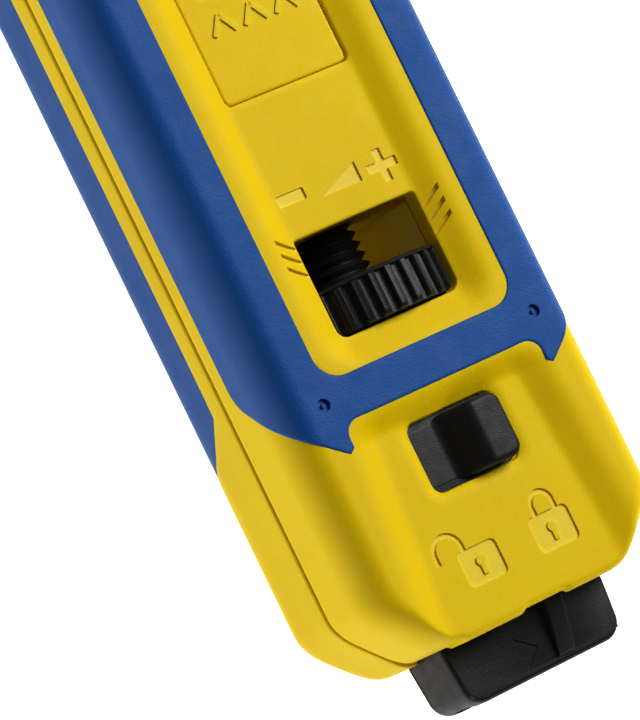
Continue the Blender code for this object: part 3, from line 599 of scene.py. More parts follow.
def end_wall(grid, side):
    """Rows to put before the first: the mouth's edge and its inner end."""
    first = grid[0]
    x, z = first[:, 0], side * first[:, 2]
    top = z.max()
    low = z.min()
    mouth_x = np.clip(x * MOUTH_X / (np.abs(x).max() - 0.9), -MOUTH_X, MOUTH_X)
    height = mouth_top(mouth_x) if side > 0 else -MOUTH_LOW_Z
    mouth_z = low + (z - low) * (height - low) / (top - 4.4 - low)
    mouth_z = np.minimum(mouth_z, height)
    if side > 0:
        notch = (mouth_x > NOTCH_X[0]) & (mouth_x < NOTCH_X[1])
        mouth_z = np.where(notch, NOTCH_TOP_Z, mouth_z)
    edge = np.stack([mouth_x, first[:, 1], side * mouth_z], 1)
    inner = edge.copy()
    inner[:, 1] = SHELL_START + MOUTH_DEPTH
    return np.stack([inner, edge])


def shell_solid(side, ns, steps, openings):
    """Outer and inner skin of one shell with its round-edged openings."""
    inset = SHELL_INSET if side > 0 else 0.0
    grid, u = housing_grid(ns, side, inset, steps)
    bed = grip_field(grid, u, side)
    inner_ns = np.clip(ns, SHELL_START + SHELL_WALL, LENGTH - SHELL_WALL)
    inner, _ = housing_grid(inner_ns, side, SHELL_WALL, steps, JOINT_GAP)
    if side > 0:
        roof_x, roof_n, roof_z = LOCK_ROOF
        x, n, z = np.moveaxis(inner, 2, 0)
        z[(z > 8.0) & (rect_distance(x, n, roof_x, roof_n, 0) < 0)] = roof_z
        x, n, z = np.moveaxis(grid, 2, 0)
        z[:] = np.where(z > 5.0, front_relief(x, n, z), z)
        n += lip_notch(x) * np.clip(1 - (n - SHELL_START) / 2.0, 0.0, 1.0)
    normals = grid_normals(grid)
    sink = GRIP_BED * ramp((bed - 0.35) / 0.5)
    grid = grid - normals * sink[:, :, None]
    field = np.full(bed.shape, 10.0)
    on_face = side * grid[..., 2] > 5.0
    for xs, window_ns, low_radius, high_radius in openings:
        x, n = grid[..., 0], grid[..., 1]
        gap = np.where(n < sum(window_ns) / 2, rect_distance(x, n, xs, window_ns, low_radius),
                       rect_distance(x, n, xs, window_ns, high_radius))
        field = np.where(on_face, np.minimum(field, gap), field)
    mouth = end_wall(grid, side)
    lead = np.repeat(inner[:1], 2, 0)
    lead[..., 1] = [[SHELL_START + MOUTH_DEPTH], [SHELL_START + MOUTH_DEPTH + 0.1]]
    top = np.concatenate([mouth, grid])
    bottom = np.concatenate([lead, inner])
    field = np.concatenate([field[:1], field[:1], field])
    return skin_solid(top, bottom, field, 0.25)


def gate_solid(x, radius, low, high, low_radius):
    """Round tapered plug at a moulding gate beside the lock pocket."""
    ends = ((low, low_radius), (high, radius))
    return loft([[(px, pn, z) for px, pn in circle(reach, 28, (x, GATE_N))] for z, reach in ends])


def grip_solid(side, ns, steps):
    grid, u = housing_grid(ns, side, 0.0, steps, JOINT_GAP)
    field = grip_field(grid, u, side)
    normals = grid_normals(grid)
    sink = 0.0 if side > 0 else GRIP_BACK_SINK
    return skin_solid(grid - normals * sink, grid - normals * (sink + GRIP_DEPTH), field, 0.3)


def wheel_chamber(side):
    """Two curved walls beside the wheel's space, with the two ribs that close it."""
    solids = []
    low, high = WHEEL_CHAMBER_N
    wall = arc(WHEEL_CHAMBER_RADIUS, (1, 46), 24, side=side)
    wall += arc(CHAMBER_OUTER_RADIUS, (1, 46), 24, side=side)[::-1]
    for sign in (1, -1):
        solids.append(prism_along([(sign * x, z) for x, z in wall], low - 0.4, high + 0.4))
    limit = CHAMBER_RIB_TOP if side > 0 else CHAMBER_RIB_LOW
    for start, end, bore in ((low - 1.4, low, MECHANISM_BORE), (high, high + 1.6, ADJUSTER_BORE)):
        outline = [(x, side * min(limit, z)) for x, z in arc(CHAMBER_RIB_RADIUS, (1, 179), 40)]
        outline += arc(bore, (178, 2), 30, side=side)
        solids.append(prism_along(outline, start, end))
    return solids


# ---- marks sunk in the face

MINUS_X, MINUS_N = (-7.9, -4.2), (59.0, 60.4)
WEDGE = ((-2.6, 58.4), (3.1, 58.4), (3.1, 60.8))
PLUS_CENTRE, PLUS_ARM, PLUS_BAR = (6.2, 59.15), 2.0, 0.55
MARK_DEPTH = 0.24
INDEX_HALF_WIDTH = 0.3
INDEX_DEPTH = 0.5
PADLOCK_N = (11.9, 16.2)
SHACKLE_TOP = 18.9
SHACKLE_WIDTH = 0.62


def plus_outline(centre, arm, bar):
    x, n = centre
    steps = ((arm, -bar), (arm, bar), (bar, bar), (bar, arm), (-bar, arm), (-bar, bar))
    steps += ((-arm, bar), (-arm, -bar), (-bar, -bar), (-bar, -arm), (bar, -arm), (bar, -bar))
    return [(x + dx, n + dn) for dx, dn in steps]


def mark(outline, floor_z):
    return prism_up(outline, floor_z - MARK_DEPTH, floor_z + 4.0)


def band(points, width):
    """Outline of a line of that width through points."""
    line = np.array(points, float)
    direction = np.gradient(line, axis=0)
    direction /= np.linalg.norm(direction, axis=1)[:, None]
    side = np.stack([-direction[:, 1], direction[:, 0]], 1) * width / 2
    return [tuple(p) for p in line - side] + [tuple(p) for p in (line + side)[::-1]]


def padlock(body_x, shackle_x, both_legs):
    """Padlock picture: a round-cornered body, a shackle and a keyhole left standing."""
    body_top = PADLOCK_N[1]
    key_x, key_n = sum(body_x) / 2, sum(PADLOCK_N) / 2 + 0.35
    radius = (shackle_x[1] - shackle_x[0]) / 2 - SHACKLE_WIDTH / 2
    centre = (sum(shackle_x) / 2, SHACKLE_TOP - radius - SHACKLE_WIDTH / 2)
    bow = arc(radius, (0, 180), 17, centre)
    free_end = body_top - 0.05 if both_legs else centre[1] - 1.1
    legs = [(centre[0] + radius, body_top - 0.05)] + bow + [(centre[0] - radius, free_end)]
    body = round_rect(body_x, PADLOCK_N, 0.7, 4)
    keyhole = arc(0.6, (-60, 240), 19, (key_x, key_n))
    keyhole += [(key_x - 0.3, key_n - 1.6), (key_x + 0.3, key_n - 1.6)]
    return body, band(legs, SHACKLE_WIDTH), keyhole


def face_marks():
    """Cutters for the minus, wedge and plus, and for the index lines on both sides."""
    outlines = (round_rect(MINUS_X, MINUS_N, 0.2, 3), WEDGE, plus_outline(PLUS_CENTRE, PLUS_ARM, PLUS_BAR))
    solids = [mark(outline, RECESS_FLOOR_Z) for outline in outlines]
    for i in range(3):
        left_n = 55.4 - 1.62 * i
        solids.append(index_line([(-11.0, left_n + 0.25), (-9.6, left_n - 0.6), (-7.9, left_n - 1.6)]))
        right_n = 49.6 + 1.65 * i
        solids.append(index_line([(8.45, right_n), (9.6, right_n + 0.75), (10.9, right_n + 1.6)]))
    return solids


def index_line(line):
    """Cutter for one index line, following the slope beside the window."""
    rings = []
    for x, n in line:
        z = float(front_relief(np.array(x), np.array(n), np.array(FRONT_HEIGHT)))
        near, far = n - INDEX_HALF_WIDTH, n + INDEX_HALF_WIDTH
        low, high = z - INDEX_DEPTH, z + 2
        rings.append([(x, near, low), (x, far, low), (x, far, high), (x, near, high)])
    return loft(rings)


def lock_marks():
    """Cutters for the two padlocks, bodies apart from shackles, and the posts in their keyholes."""
    floor = POCKET_FLOOR_Z
    bodies, shackles, posts = [], [], []
    for picture in (((-7.2, -1.9), (-9.9, -5.7), False), ((2.7, 8.2), (3.75, 7.15), True)):
        body, shackle, keyhole = padlock(*picture)
        bodies.append(mark(body, floor))
        shackles.append(mark(shackle, floor))
        posts.append(prism_up(keyhole, floor - 0.8, floor - 0.03))
    return bodies, shackles, posts


# ---- adjuster

WHEEL_RADIUS = 12.4
WHEEL_N = (43.3, 48.9)
WHEEL_RIBS = 36
RIB_DEPTH = 0.75
WHEEL_RIM = 0.42
THREAD_PITCH = 1.25
THREAD_ROOT = 3.62
THREAD_CREST = 4.42
THREAD_N = (46.0, 57.3)
SLEEVE_BORE = 2.4
SLEEVE_RADIUS = 4.3


def wheel_outline(shrink):
    """Ribbed outline of the thumb wheel, shrink being how far the end bevel has come in."""
    points = []
    pitch = 2 * math.pi / WHEEL_RIBS
    crest, root = WHEEL_RADIUS, WHEEL_RADIUS - RIB_DEPTH
    flank = ((0.38, 0.02), (0.28, 0.12), (0.22, 0.5), (0.185, 0.9), (0.15, 1.0), (0.08, 0.96))
    left = [(-offset, share) for offset, share in flank]
    shape = [(-0.50, 0.0), *left, (0.0, 0.94), *reversed(flank)]
    for rib in range(WHEEL_RIBS):
        for offset, share in shape:
            angle = (rib + offset) * pitch
            reach = min(root + (crest - root) * share, crest - shrink)
            points.append((reach * math.cos(angle), reach * math.sin(angle)))
    return points


def wheel_solids():
    """Ribbed part of the wheel, and the smooth disc that closes its far end."""
    low, high = WHEEL_N
    rings = []
    rim = WHEEL_RIM
    for n, shrink in ((low, 0.55), (low + 0.12, 0.25), (low + 0.4, 0.05), (low + 0.7, 0.0),
                      (high - rim - 0.5, 0.0), (high - rim - 0.1, 0.04)):
        rings.append([(x, n, z) for x, z in wheel_outline(shrink)])
    ribs = loft(rings)
    rim_profile = [(high - rim - 0.1, WHEEL_RADIUS - 0.25), (high - rim, WHEEL_RADIUS - 0.08),
                   (high - rim / 2, WHEEL_RADIUS - 0.02), (high - 0.12, WHEEL_RADIUS - 0.1),
                   (high, WHEEL_RADIUS - 0.4)]
    face_profile = [(high, 10.6), (high - 0.25, 10.3), (high - 0.25, 5.6), (high, 5.4), (high, 4.75)]
    bore_profile = [(high - 0.15, ADJUSTER_BORE), (low + 3.0, ADJUSTER_BORE), (low + 3.0, 5.0)]
    start = [(high - rim - 0.3, 5.0), (high - rim - 0.3, 11.4)]
    return ribs, turned(start + rim_profile + face_profile + bore_profile, 96)


def thread_solid():
    """Threaded sleeve: one helical skin from end to end round a plain bore."""
    root, crest = THREAD_ROOT, THREAD_CREST
    start, end = THREAD_N
    steps = 48
    profile = ((0.0, root), (0.06, root + 0.03), (0.46, crest - 0.04), (0.5, crest), (0.54, crest - 0.04),
               (0.94, root + 0.03))
    points, faces = [], []
    rows = [[(SLEEVE_BORE, start)] * (steps + 1)]
    for turn in range(-1, int((end - start) / THREAD_PITCH) + 2):
        for share, radius in profile:
            row = []
            for i in range(steps + 1):
                n = start + THREAD_PITCH * (turn + share + i / steps)
                inside = start < n < end
                row.append((radius if inside else root, min(max(n, start), end)))
            rows.append(row)
    rows.append([(SLEEVE_BORE, end)] * (steps + 1))
    for row in rows:
        for i, (radius, n) in enumerate(row):
            angle = 2 * math.pi * i / steps
            points.append((radius * math.cos(angle), n, radius * math.sin(angle)))
    width = steps + 1
    for r in range(len(rows)):
        low, high = r * width, ((r + 1) % len(rows)) * width
        for i in range(steps):
            faces.append([low + i, low + i + 1, high + i + 1, high + i])
    return points, faces


def sleeve_solids():
    """Plain end of the sleeve with its flange, and the short collar inside the wheel."""
    bore, radius = SLEEVE_BORE, SLEEVE_RADIUS
    flange = turned([(57.2, bore), (57.2, radius), (57.5, radius), (57.5, 6.4), (57.7, 6.6), (59.1, 6.6),
                     (59.3, 6.4), (59.3, radius), (67.8, radius), (68.0, radius - 0.2), (68.0, bore)])
    collar = turned([(45.0, bore), (45.0, 3.5), (45.2, 3.7), (46.1, 3.7), (46.1, bore)])
    return flange, collar


# ---- head

HEAD_Z = (-4.4, 5.0)
HEAD_BACK_N = 13.5
HEAD_CORNER = 2.5
LEG_X = (8.8, 10.8)
HEAD_RIB_END = 9.2
BLADE_HALF_WIDTH = 8.8
BLADE_N = (1.0, 5.7)


def head_outline():
    right = arc(HEAD_CORNER, (-90, 0), 10, (8.5, HEAD_CORNER))
    right += [(11.2, 4.5), (11.38, 6.4), (11.38, 8.3), (10.9, 8.7), (10.9, HEAD_BACK_N)]
    return right + [(-x, n) for x, n in reversed(right)]


def head_solids():
    """The block, then its two legs and the rib."""
    solids = [soft_prism(head_outline(), *HEAD_Z, 0.6, 0.6, up)]
    for sign in (-1, 1):
        outline = [(HEAD_BACK_N - 1.5, -3.0), (29.1, -3.0), (29.1, 4.0), (28.5, 4.6), (27.1, 4.6),
                   (27.1, 2.4), (18.3, 2.4), (18.3, 4.6), (HEAD_BACK_N - 1.5, 4.6)]
        xs = sorted(sign * x for x in LEG_X)
        solids.append(soft_prism(outline, *xs, 0.25, 0.25, across))
    start, end = CROWN_N[0], HEAD_RIB_END
    rib = [(start, 4.6), (start, 5.3), (start + 0.25, 5.6), (6.6, 7.8), (7.2, 7.97), (end - 0.2, 7.97),
           (end, 7.8), (end, 4.6)]
    solids.append(soft_prism(rib, *HEAD_RIB_X, 0.18, 0.18, across))
    return solids


def crown_height(x, n):
    """Low roof on the head, rising towards the shells and highest along the rib."""
    ridge = HEAD_Z[1] + CROWN_RISE * min(max((n - CROWN_N[0]) / (SHELL_START - CROWN_N[0]), 0.0), 1.0)
    eaves = HEAD_Z[1] - 0.05
    left, right = HEAD_RIB_X
    if x < left:
        share = (x + CROWN_HALF_WIDTH) / (left + CROWN_HALF_WIDTH)
    elif x > right:
        share = (CROWN_HALF_WIDTH - x) / (CROWN_HALF_WIDTH - right)
    else:
        share = 1.0
    return eaves + (ridge - eaves) * share


def crown_solid():
    low = HEAD_Z[1] - 0.4
    xs = np.concatenate([np.linspace(-CROWN_HALF_WIDTH, HEAD_RIB_X[0], 16),
                         np.linspace(HEAD_RIB_X[1], CROWN_HALF_WIDTH, 10)])
    rings = []
    for n in [*np.linspace(CROWN_N[0], SHELL_START, 9), CROWN_N[1]]:
        ring = [(x, n, crown_height(x, n)) for x in xs[::-1]]
        rings.append([(-CROWN_HALF_WIDTH, n, low), (CROWN_HALF_WIDTH, n, low)] + ring)
    return loft(rings)


def head_arrow():
    """Cutters for the outline of an arrow: the head's two sides, and two fainter shaft lines."""
    solids = []
    for line, width, depth in (
        ([(-2.6, 0.95), (-0.35, 3.0), (-3.0, 4.9)], 0.24, 0.12),
        ([(-8.4, 2.0), (-3.3, 2.0)], 0.16, 0.05),
        ([(-8.4, 3.9), (-3.3, 3.9)], 0.16, 0.05),
    ):
        outline = band(line, width)
        low = [(x, n, crown_height(x, n) - depth) for x, n in outline]
        solids.append(loft([low, [(x, n, z + 2.0) for x, n, z in low]]))
    return solids


# ---- lock slider

SKIRT_X = (-9.4, 9.6)
SKIRT_N = (22.4, 31.8)
KNOB_N = (23.2, 31.0)
KNOB_X = (-9.2, 5.5)
KNOB_LOW_Z = 8.6
KNOB_FOOT = (-2.4, 9.33)
KNOB_RISE = 3.13
KNOB_FLANK = 4.4
PEG = (4.0, 25.9, 0.8)


def knob_height(x):
    """Top of the thumb knob across the tool: a round flank up to a level land."""
    foot_x, foot_z = KNOB_FOOT
    return foot_z + KNOB_RISE * ramp((x - foot_x) / KNOB_FLANK)


def knob_solid():
    xs = np.linspace(*KNOB_X, 80)
    ns = np.linspace(*KNOB_N, 44)
    x, n = np.meshgrid(xs, ns)
    z = knob_height(x)
    edge = -rect_distance(x, n, (-20.0, KNOB_X[1]), KNOB_N, 1.4)
    top = np.stack([x, n, z], 2)
    bottom = np.stack([x, n, np.full_like(z, KNOB_LOW_Z)], 2)
    return skin_solid(top, bottom, edge, 0.7, 5)


# ---- blade store lid

LID_Z = (8.7, 10.2)
LID_SLOT = ((-5.8, 5.8), (84.3, 88.2))
CHEVRON_X = (-4.2, 0.0, 4.2)


def lid_solid():
    xs = np.linspace(-LID_HALF_WIDTH, LID_HALF_WIDTH, 41)
    ns = np.linspace(*LID_N, 120)
    x, n = np.meshgrid(xs, ns)
    gap = rect_distance(x, n, *LID_SLOT, 0.5)
    edge = -rect_distance(x, n, (-LID_HALF_WIDTH, LID_HALF_WIDTH), LID_N, 0.7)
    bottom, top = (np.stack([x, n, np.full_like(x, z)], 2) for z in LID_Z)
    return skin_solid(top, bottom, np.minimum(gap, edge + 0.001), 0.25)


def lid_chevrons():
    """Raised arrowheads at the end that is pressed, pointing to the slot."""
    solids = []
    for x in CHEVRON_X:
        for sign in (-1, 1):
            outline = band([(x + sign * 1.5, 79.6), (x, 81.9)], 0.55)
            solids.append(prism_up(outline, 10.0, 10.42))
    return solids


def lid_knuckle():
    return soft_prism(round_rect((88.6, 91.4), (6.6, 9.0), 0.6, 4), -7.8, 7.8, 0.2, 0.2, across)


# ---- screws, springs and blades

def screw_solids(x, n):
    """Flat head, and a shank with a ring at every fourth step in place of a thread."""
    def lay(u, v, w):
        return (x + u, n + v, w)
    rings = []
    count = 60
    for i in range(count + 1):
        z = -10.0 + 16.4 * i / count
        radius = 1.1 if (i % 4 == 2 and z > -4) else 0.9
        rings.append([(px, pn, z) for px, pn in circle(radius, 16, (x, n))])
    return soft_prism(circle(2.4, 32), -11.5, -9.8, 0.35, 0.1, lay), loft(rings)


def star_cutter(x, n):
    outline = []
    for angle in np.linspace(0, 2 * math.pi, 36, endpoint=False):
        radius = 1.15 + 0.22 * math.cos(6 * angle)
        outline.append((x + radius * math.cos(angle), n + radius * math.sin(angle)))
    return prism_up(outline, -13.0, -10.5)


def coil_solid(radius, wire, ns, turns, sides=10, steps=28):
    """Round wire, wound about the tool's axis at an even pitch."""
    count = int(turns * steps)
    low, high = ns[0] + wire, ns[1] - wire
    rings = []
    for step in range(count + 1):
        share = step / count
        angle = 2 * math.pi * turns * share
        middle = low + (high - low) * share
        ring = []
        for side in range(sides):
            turn = 2 * math.pi * side / sides
            reach = radius + wire * math.cos(turn)
            ring.append((reach * math.cos(angle), middle + wire * math.sin(turn), reach * math.sin(angle)))
        rings.append(ring)
    return loft(rings)


def seating_blade_solid():
    teeth, half = 8, BLADE_HALF_WIDTH
    low, high = BLADE_N
    pitch = 2 * half / teeth
    outline = [(half, high), (-half, high)]
    for tooth in range(teeth):
        left = -half + tooth * pitch
        outline += [(left, low), (left + 0.28 * pitch, low), (left + 0.38 * pitch, low + 0.5)]
        for a in np.radians(np.linspace(180, 0, 7)):
            outline.append((left + (0.5 + 0.12 * math.cos(a)) * pitch, low + 2.1 + 0.26 * math.sin(a)))
        outline += [(left + 0.62 * pitch, low + 0.5), (left + 0.72 * pitch, low)]
    outline.append((half, low))
    return prism_up(outline, -1.6, -0.8)


def cutting_blade_solid():
    low, high = BLADE_N
    outline = [(high, 0.8), (high, 1.5), (2.4, 1.5), (low, 0.86), (low, 0.8)]
    return soft_prism(outline, -BLADE_HALF_WIDTH, BLADE_HALF_WIDTH, 0.05, 0.05, across, 1)


# ---- materials

def linear(red, green, blue):
    """Scene-linear colour from 0-255 display values."""
    def one(value):
        share = value / 255
        return share / 12.92 if share <= 0.04045 else ((share + 0.055) / 1.055) ** 2.4
    return (one(red), one(green), one(blue), 1.0)


class Material:
    """Principled material built up from noise layers in object space."""

    def __init__(self, name, color, roughness, metallic=0.0, specular=0.5):
        self.material = bpy.data.materials.new(name)
        self.material.use_nodes = True
        self.tree = self.material.node_tree
        self.shader = self.tree.nodes["Principled BSDF"]
        self.set("Base Color", color)
        self.set("Roughness", roughness)
        self.set("Metallic", metallic)
        self.set("Specular IOR Level", specular)
        self.color, self.roughness = color, roughness
        self.coordinate = self.node("ShaderNodeTexCoord").outputs["Object"]
        self.normal = None

    def node(self, kind, **inputs):
        """New node, with inputs named as the node names them but for _ in place of a space."""
        node = self.tree.nodes.new(kind)
        for name, value in inputs.items():
            node.inputs[name.replace("_", " ")].default_value = value
        return node

    def link(self, a, b):
        self.tree.links.new(a, b)

    def set(self, socket, value):
        self.shader.inputs[socket].default_value = value

    def noise(self, size_mm, detail=2.0, stretch=(1, 1, 1)):
        """Noise whose features are about size_mm across."""
        mapping = self.node("ShaderNodeMapping", Scale=stretch)
        self.link(self.coordinate, mapping.inputs["Vector"])
        texture = self.node("ShaderNodeTexNoise", Scale=1 / (size_mm * MM), Detail=detail)
        self.link(mapping.outputs[0], texture.inputs["Vector"])
        return texture.outputs["Fac"]

    def remap(self, value, low, high, to_low=0.0, to_high=1.0):
        node = self.node("ShaderNodeMapRange", From_Min=low, From_Max=high, To_Min=to_low, To_Max=to_high)
        self.link(value, node.inputs["Value"])
        return node.outputs["Result"]

    def bump(self, value, height_mm):
        node = self.node("ShaderNodeBump", Distance=height_mm * MM)
        self.link(value, node.inputs["Height"])
        if self.normal is not None:
            self.link(self.normal, node.inputs["Normal"])
        self.normal = node.outputs["Normal"]
        self.link(self.normal, self.shader.inputs["Normal"])

    def tint(self, value, other, amount):
        """Mixes the base colour towards other where value is high."""
        node = self.node("ShaderNodeMix")
        node.data_type = "RGBA"
        sockets = self.shader.inputs["Base Color"]
        if sockets.links:
            self.link(sockets.links[0].from_socket, node.inputs["A"])
        else:
            node.inputs["A"].default_value = self.color
        node.inputs["B"].default_value = other
        self.link(self.remap(value, 0.0, 1.0, 0.0, amount), node.inputs["Factor"])
        self.link(node.outputs["Result"], sockets)

    def vary_roughness(self, value, spread):
        low, high = self.roughness - spread, self.roughness + spread
        self.link(self.remap(value, 0.3, 0.7, low, high), self.shader.inputs["Roughness"])

    def edges(self):
        """High on convex edges of the mesh."""
        geometry = self.node("ShaderNodeNewGeometry")
        return self.remap(geometry.outputs["Pointiness"], 0.52, 0.60)


def yellow_plastic(name="yellow_plastic", color=linear(238, 206, 0), rough=0.55, grain=1.0):
    m = Material(name, color, rough, specular=0.16)
    m.vary_roughness(m.noise(2.5, 4), 0.05)
    m.tint(m.remap(m.noise(14, 3), 0.45, 0.75), linear(226, 190, 4), 0.35)
    m.tint(m.edges(), linear(248, 226, 60), 0.25)
    m.bump(m.noise(0.2, 2), 0.02 * grain)
    m.bump(m.noise(0.6, 2), 0.01 * grain)
    m.set("Subsurface Weight", 0.15)
    m.set("Subsurface Radius", (1.0, 0.55, 0.05))
    m.set("Subsurface Scale", 0.0015)
    return m.material


def blue_rubber():
    m = Material("blue_grip", linear(2, 84, 158), 0.6, specular=0.34)
    m.vary_roughness(m.noise(3, 4), 0.05)
    m.tint(m.remap(m.noise(0.3, 2), 0.55, 0.8), linear(60, 112, 186), 0.15)
    m.tint(m.remap(m.noise(9, 3), 0.45, 0.75), linear(2, 74, 146), 0.35)
    m.bump(m.noise(0.25, 3), 0.06)
    m.bump(m.noise(0.7, 2), 0.03)
    m.set("Sheen Weight", 0.1)
    m.set("Sheen Roughness", 0.45)
    return m.material


def black_nylon(name="black_plastic", tone=(24, 24, 25), rough=0.5):
    m = Material(name, linear(*tone), rough, specular=0.36)
    m.vary_roughness(m.noise(1.6, 4), 0.07)
    m.tint(m.edges(), linear(70, 70, 72), 0.15)
    m.tint(m.remap(m.noise(0.4, 2), 0.6, 0.8), linear(70, 70, 72), 0.25)
    m.bump(m.noise(0.18, 3), 0.035)
    return m.material


def metal(name, color, rough, brushed):
    m = Material(name, color, rough, metallic=1.0)
    m.vary_roughness(m.noise(0.8, 4), 0.08)
    m.tint(m.remap(m.noise(2.5, 4), 0.5, 0.8), tuple(c * 0.55 for c in color[:3]) + (1.0,), 0.6)
    m.bump(m.noise(0.25, 3, brushed), 0.008)
    return m.material


def backdrop_white():
    m = Material("backdrop", (1.0, 1.0, 1.0, 1.0), 0.9, specular=0.0)
    m.tint(m.noise(40, 2), (0.97, 0.97, 0.98, 1.0), 0.3)
    m.set("Emission Color", (1.0, 1.0, 1.0, 1.0))
    m.set("Emission Strength", 1.03)
    return m.material


# ---- building the tool

FACE_OPENINGS = [
    ((-WINDOW_HALF_WIDTH, WINDOW_HALF_WIDTH), WINDOW_N, 1.2, 0.3),
    ((-LOCK_OPENING_HALF_WIDTH, LOCK_OPENING_HALF_WIDTH), LOCK_OPENING_N, 1.3, 1.3),
    ((-LID_HALF_WIDTH - LID_GAP, LID_HALF_WIDTH + LID_GAP),
     (LID_N[0] - LID_GAP, LID_N[1] + LID_GAP), 0.6, 0.6),
]
FRONT_ROWS = housing_rows(0.4, 0.8, 1.8)
REAR_ROWS = housing_rows(0.7, 1.2, 2.4)
FRONT_STEPS = (12, 15, 41)
REAR_STEPS = (10, 10, 22)


def build_housing(yellow, polished_painted_sheen, painted_shade_amber, blue, screw_steel):
    front = shell_solid(1, FRONT_ROWS, FRONT_STEPS, FACE_OPENINGS)
    shell = make_piece("front_housing", [front], yellow, "handle", ["front_shell"])
    bodies, shackles, posts = lock_marks()
    # The marks' floors take the glossy yellow, its lighter, paler base colour being painted sheen.
    for cutters in (face_marks(), bodies, shackles):
        carve(shell, cutters, polished_painted_sheen)
    # The front chamber walls take the more orange yellow, painted shade; the rear ones keep the plain
    # yellow.
    make_piece("front_housing_ribs", wheel_chamber(1), painted_shade_amber, "handle")
    make_piece("lock_mark_posts", posts, yellow, "handle")
    rear = shell_solid(-1, REAR_ROWS, REAR_STEPS, FACE_OPENINGS[:1])
    shell = make_piece("rear_housing", [rear], yellow, "handle", ["rear_shell"])
    carve(shell, [prism_up(circle(2.7, 32, place), -16.0, -9.0) for place in SCREW_PLACES])
    make_piece("rear_housing_ribs", wheel_chamber(-1), yellow, "handle")
    grip = make_piece("front_overmould", [grip_solid(1, FRONT_ROWS, FRONT_STEPS)], blue, "handle",
                      ["front_grip"])
    make_piece("rear_overmould", [grip_solid(-1, REAR_ROWS, REAR_STEPS)], blue, "handle",
               ["rear_grip"])
    carve(grip, [gate_solid(x, 1.1, GATE_FLOOR_Z, 14.0, 0.72) for x in GATE_SIDES])
    gate_posts = [gate_solid(x, 0.22, 11.2, GATE_FLOOR_Z + 0.3, 0.34) for x in GATE_SIDES]
    make_piece("grip_gate_posts", gate_posts, blue, "handle")
    for index, (x, n) in enumerate(SCREW_PLACES, 1):
        screw = make_piece(f"housing_screw_{index}", screw_solids(x, n), screw_steel, "handle",
                           [f"shell_screw_{index}"])
        carve(screw, [star_cutter(x, n)])


def build_adjuster(wheel_black, black):
    ribs, disc = wheel_solids()
    wheel = make_piece("thumb_wheel", [ribs], wheel_black, "adjuster", ["adjuster_wheel"])
    for radius, end in ((ADJUSTER_BORE, 52.0), (MECHANISM_BORE, 45.2)):
        carve(wheel, [prism_along(circle(radius, 48), 40.0, end)])
    make_piece("thumb_wheel_rim", [disc], wheel_black, "adjuster")
    make_piece("screw_sleeve", [thread_solid(), *sleeve_solids()], black, "handle",
               ["threaded_sleeve"], 50)


def build_head(black, steel):
    block, *arms = head_solids()
    head = make_piece("head_block", [block], black, "head", ["blade_head"])
    make_piece("head_legs_and_rib", arms, black, "head")
    carve(head, [prism_along(round_rect((-9.6, 9.6), (-2.2, 2.2), 0.4, 4), -1.0, 6.0)])
    carve(head, [prism_along(round_rect(xs, (-3.85, -3.6), 0), -1.0, 9.0)
                 for xs in ((-13.0, -10.85), (10.85, 13.0))])
    crown = make_piece("head_crown", [crown_solid()], black, "head")
    carve(crown, head_arrow())
    make_piece("wire_seater", [seating_blade_solid()], steel, "head", ["seating_blade"])
    make_piece("wire_cutter", [cutting_blade_solid()], steel, "head", ["cutting_blade"])


def build_slider(black):
    skirt = soft_prism(round_rect(SKIRT_X, SKIRT_N, 0.5, 4), 8.0, 9.3, 0.15, 0.15, up)
    peg_x, peg_n, radius = PEG
    pegs = [prism_up(circle(radius, 20, (x, peg_n)), 6.2, 8.2) for x in (-peg_x, peg_x)]
    make_piece("slide_button", [skirt, knob_solid(), *pegs], black, "lock", ["lock_slider"])


def build_lid(yellow):
    make_piece("store_cover", [lid_solid(), *lid_chevrons(), lid_knuckle()], yellow, "lid",
               ["store_lid"])


def build_springs(spring_steel):
    coil = make_piece("impact_coil", [coil_solid(5.2, 0.55, (32.3, 44.0), 4.5)], spring_steel, "striker",
                      ["impact_spring"])
    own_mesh(coil)


CAD_NODE_SLOTS = {
    "steel": ("spring_seat", "ram", "hammer", "trip_latch", "trip_cam", "lock_yoke", "lid_pin",
              "spare_blade_1", "spare_blade_2"),
    "spring_steel": ("return_spring", "detent_spring"),
    "grey_plastic": ("blade_tray",),
}


def finish_cad_nodes(materials):
    """Carried-over CAD nodes take the detailed material of their slot."""
    for slot, names in CAD_NODE_SLOTS.items():
        for name in names:
            node = frame["nodes"][name]
            node.data.materials.clear()
            node.data.materials.append(materials[slot])


# ---- stage, lights, camera

CAMERA_AZIMUTH = -81.81
CAMERA_ELEVATION = 62.44
CAMERA_ROLL = -56.74
CAMERA_DISTANCE = 0.4516
CAMERA_TARGET = (-6.34, 42.67, 0.0)
CAMERA_LENS = 199.75
LIGHT_TARGET = (0, 40, 6)
FLOOR_REACH = 3.0
FLOOR_DROP = 0.0002


def direction(azimuth, elevation):
    """Unit vector towards a place at that azimuth and elevation, in degrees, as the views count them."""
    azimuth, elevation = math.radians(azimuth), math.radians(elevation)
    return Vector((math.sin(azimuth) * math.cos(elevation), -math.cos(azimuth) * math.cos(elevation),
                   math.sin(elevation)))


def add_camera():
    back = direction(CAMERA_AZIMUTH, CAMERA_ELEVATION)
    right = (-back).cross(Vector((0, 0, 1))).normalized()
    roll = math.radians(CAMERA_ROLL)
    up_axis = right.cross(-back) * math.cos(roll) + right * math.sin(roll)
    side = (-back).cross(up_axis).normalized()
    turn = Matrix((side, up_axis, back)).transposed().to_4x4()
    camera = add_object("camera", bpy.data.cameras.new("camera"))
    camera.data.lens = CAMERA_LENS
    camera.data.sensor_width = 36.0
    camera.data.clip_start = 0.01
    target = Vector(world(CAMERA_TARGET))
    camera.matrix_world = Matrix.Translation(target + back * CAMERA_DISTANCE) @ turn
    bpy.context.scene.camera = camera


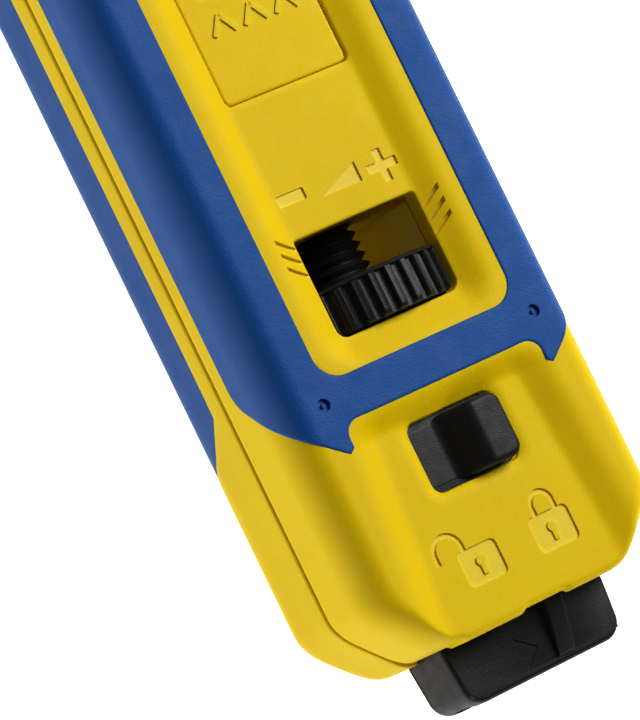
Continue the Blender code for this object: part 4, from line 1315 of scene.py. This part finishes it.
def add_floor(material):
    """Backdrop just under the tool, so that its flat back doesn't share a plane with it."""
    height = CAD_BOX[0].z - FLOOR_DROP
    corners = [(x * FLOOR_REACH, y * FLOOR_REACH, height) for x, y in ((-1, -1), (1, -1), (1, 1), (-1, 1))]
    mesh = bpy.data.meshes.new("floor")
    mesh.from_pydata(corners, [], [(0, 1, 2, 3)])
    floor = add_object("floor", mesh)
    mesh.materials.append(material)


def add_area_light(name, azimuth, elevation, distance, size, watts):
    back = direction(azimuth, elevation)
    data = bpy.data.lights.new(name, "AREA")
    data.shape = "RECTANGLE"
    data.size, data.size_y = size
    data.energy = watts
    light = add_object(name, data)
    light.location = Vector(world(LIGHT_TARGET)) + back * distance
    light.rotation_euler = (-back).to_track_quat("-Z", "Y").to_euler()


def add_world():
    world_data = bpy.data.worlds.new("studio")
    bpy.context.scene.world = world_data
    world_data.use_nodes = True
    background = world_data.node_tree.nodes["Background"]
    background.inputs["Color"].default_value = (1, 1, 1, 1)
    background.inputs["Strength"].default_value = 0.08
    bpy.context.scene.view_settings.view_transform = "Standard"
    bpy.context.scene.view_settings.gamma = 0.86


def main():
    yellow, blue, black = yellow_plastic(), blue_rubber(), black_nylon()
    materials = {
        "steel": metal("bright_steel", (0.55, 0.55, 0.56, 1.0), 0.32, (1, 8, 1)),
        "spring_steel": metal("spring_wire", (0.42, 0.42, 0.44, 1.0), 0.28, (1, 1, 1)),
        "black_steel": metal("dark_screw_steel", (0.10, 0.10, 0.11, 1.0), 0.38, (1, 1, 1)),
        "grey_plastic": black_nylon("grey_plastic", (96, 98, 102), 0.5),
    }
    # Glossy copy of the yellow for the sunk marks' floors: the lower roughness and smoother grain are
    # their real polish, the lighter, paler base colour is painted sheen.
    polished_painted_sheen = yellow_plastic("yellow_polished_painted_sheen", linear(242, 216, 56), 0.32, 0.3)
    # More orange copy of the same yellow for the wheel chamber's front walls, seen through the window:
    # painted shade.
    painted_shade_amber = yellow_plastic("yellow_inner_painted_shade", linear(240, 158, 0), 0.4, 0.5)
    build_housing(yellow, polished_painted_sheen, painted_shade_amber, blue, materials["black_steel"])
    build_adjuster(black_nylon("wheel_black", (38, 38, 39), 0.42), black)
    build_head(black, materials["steel"])
    build_slider(black)
    build_lid(yellow)
    build_springs(materials["spring_steel"])
    finish_cad_nodes(materials)
    add_camera()
    add_floor(backdrop_white())
    add_world()
    add_area_light("key_right", 118, 48, 0.8, (0.5, 0.4), 7.0)
    add_area_light("low_left", -82, 3, 0.8, (0.6, 0.2), 0.5)
    add_area_light("low_front", -12, 8, 0.8, (0.5, 0.2), 0.9)


main()
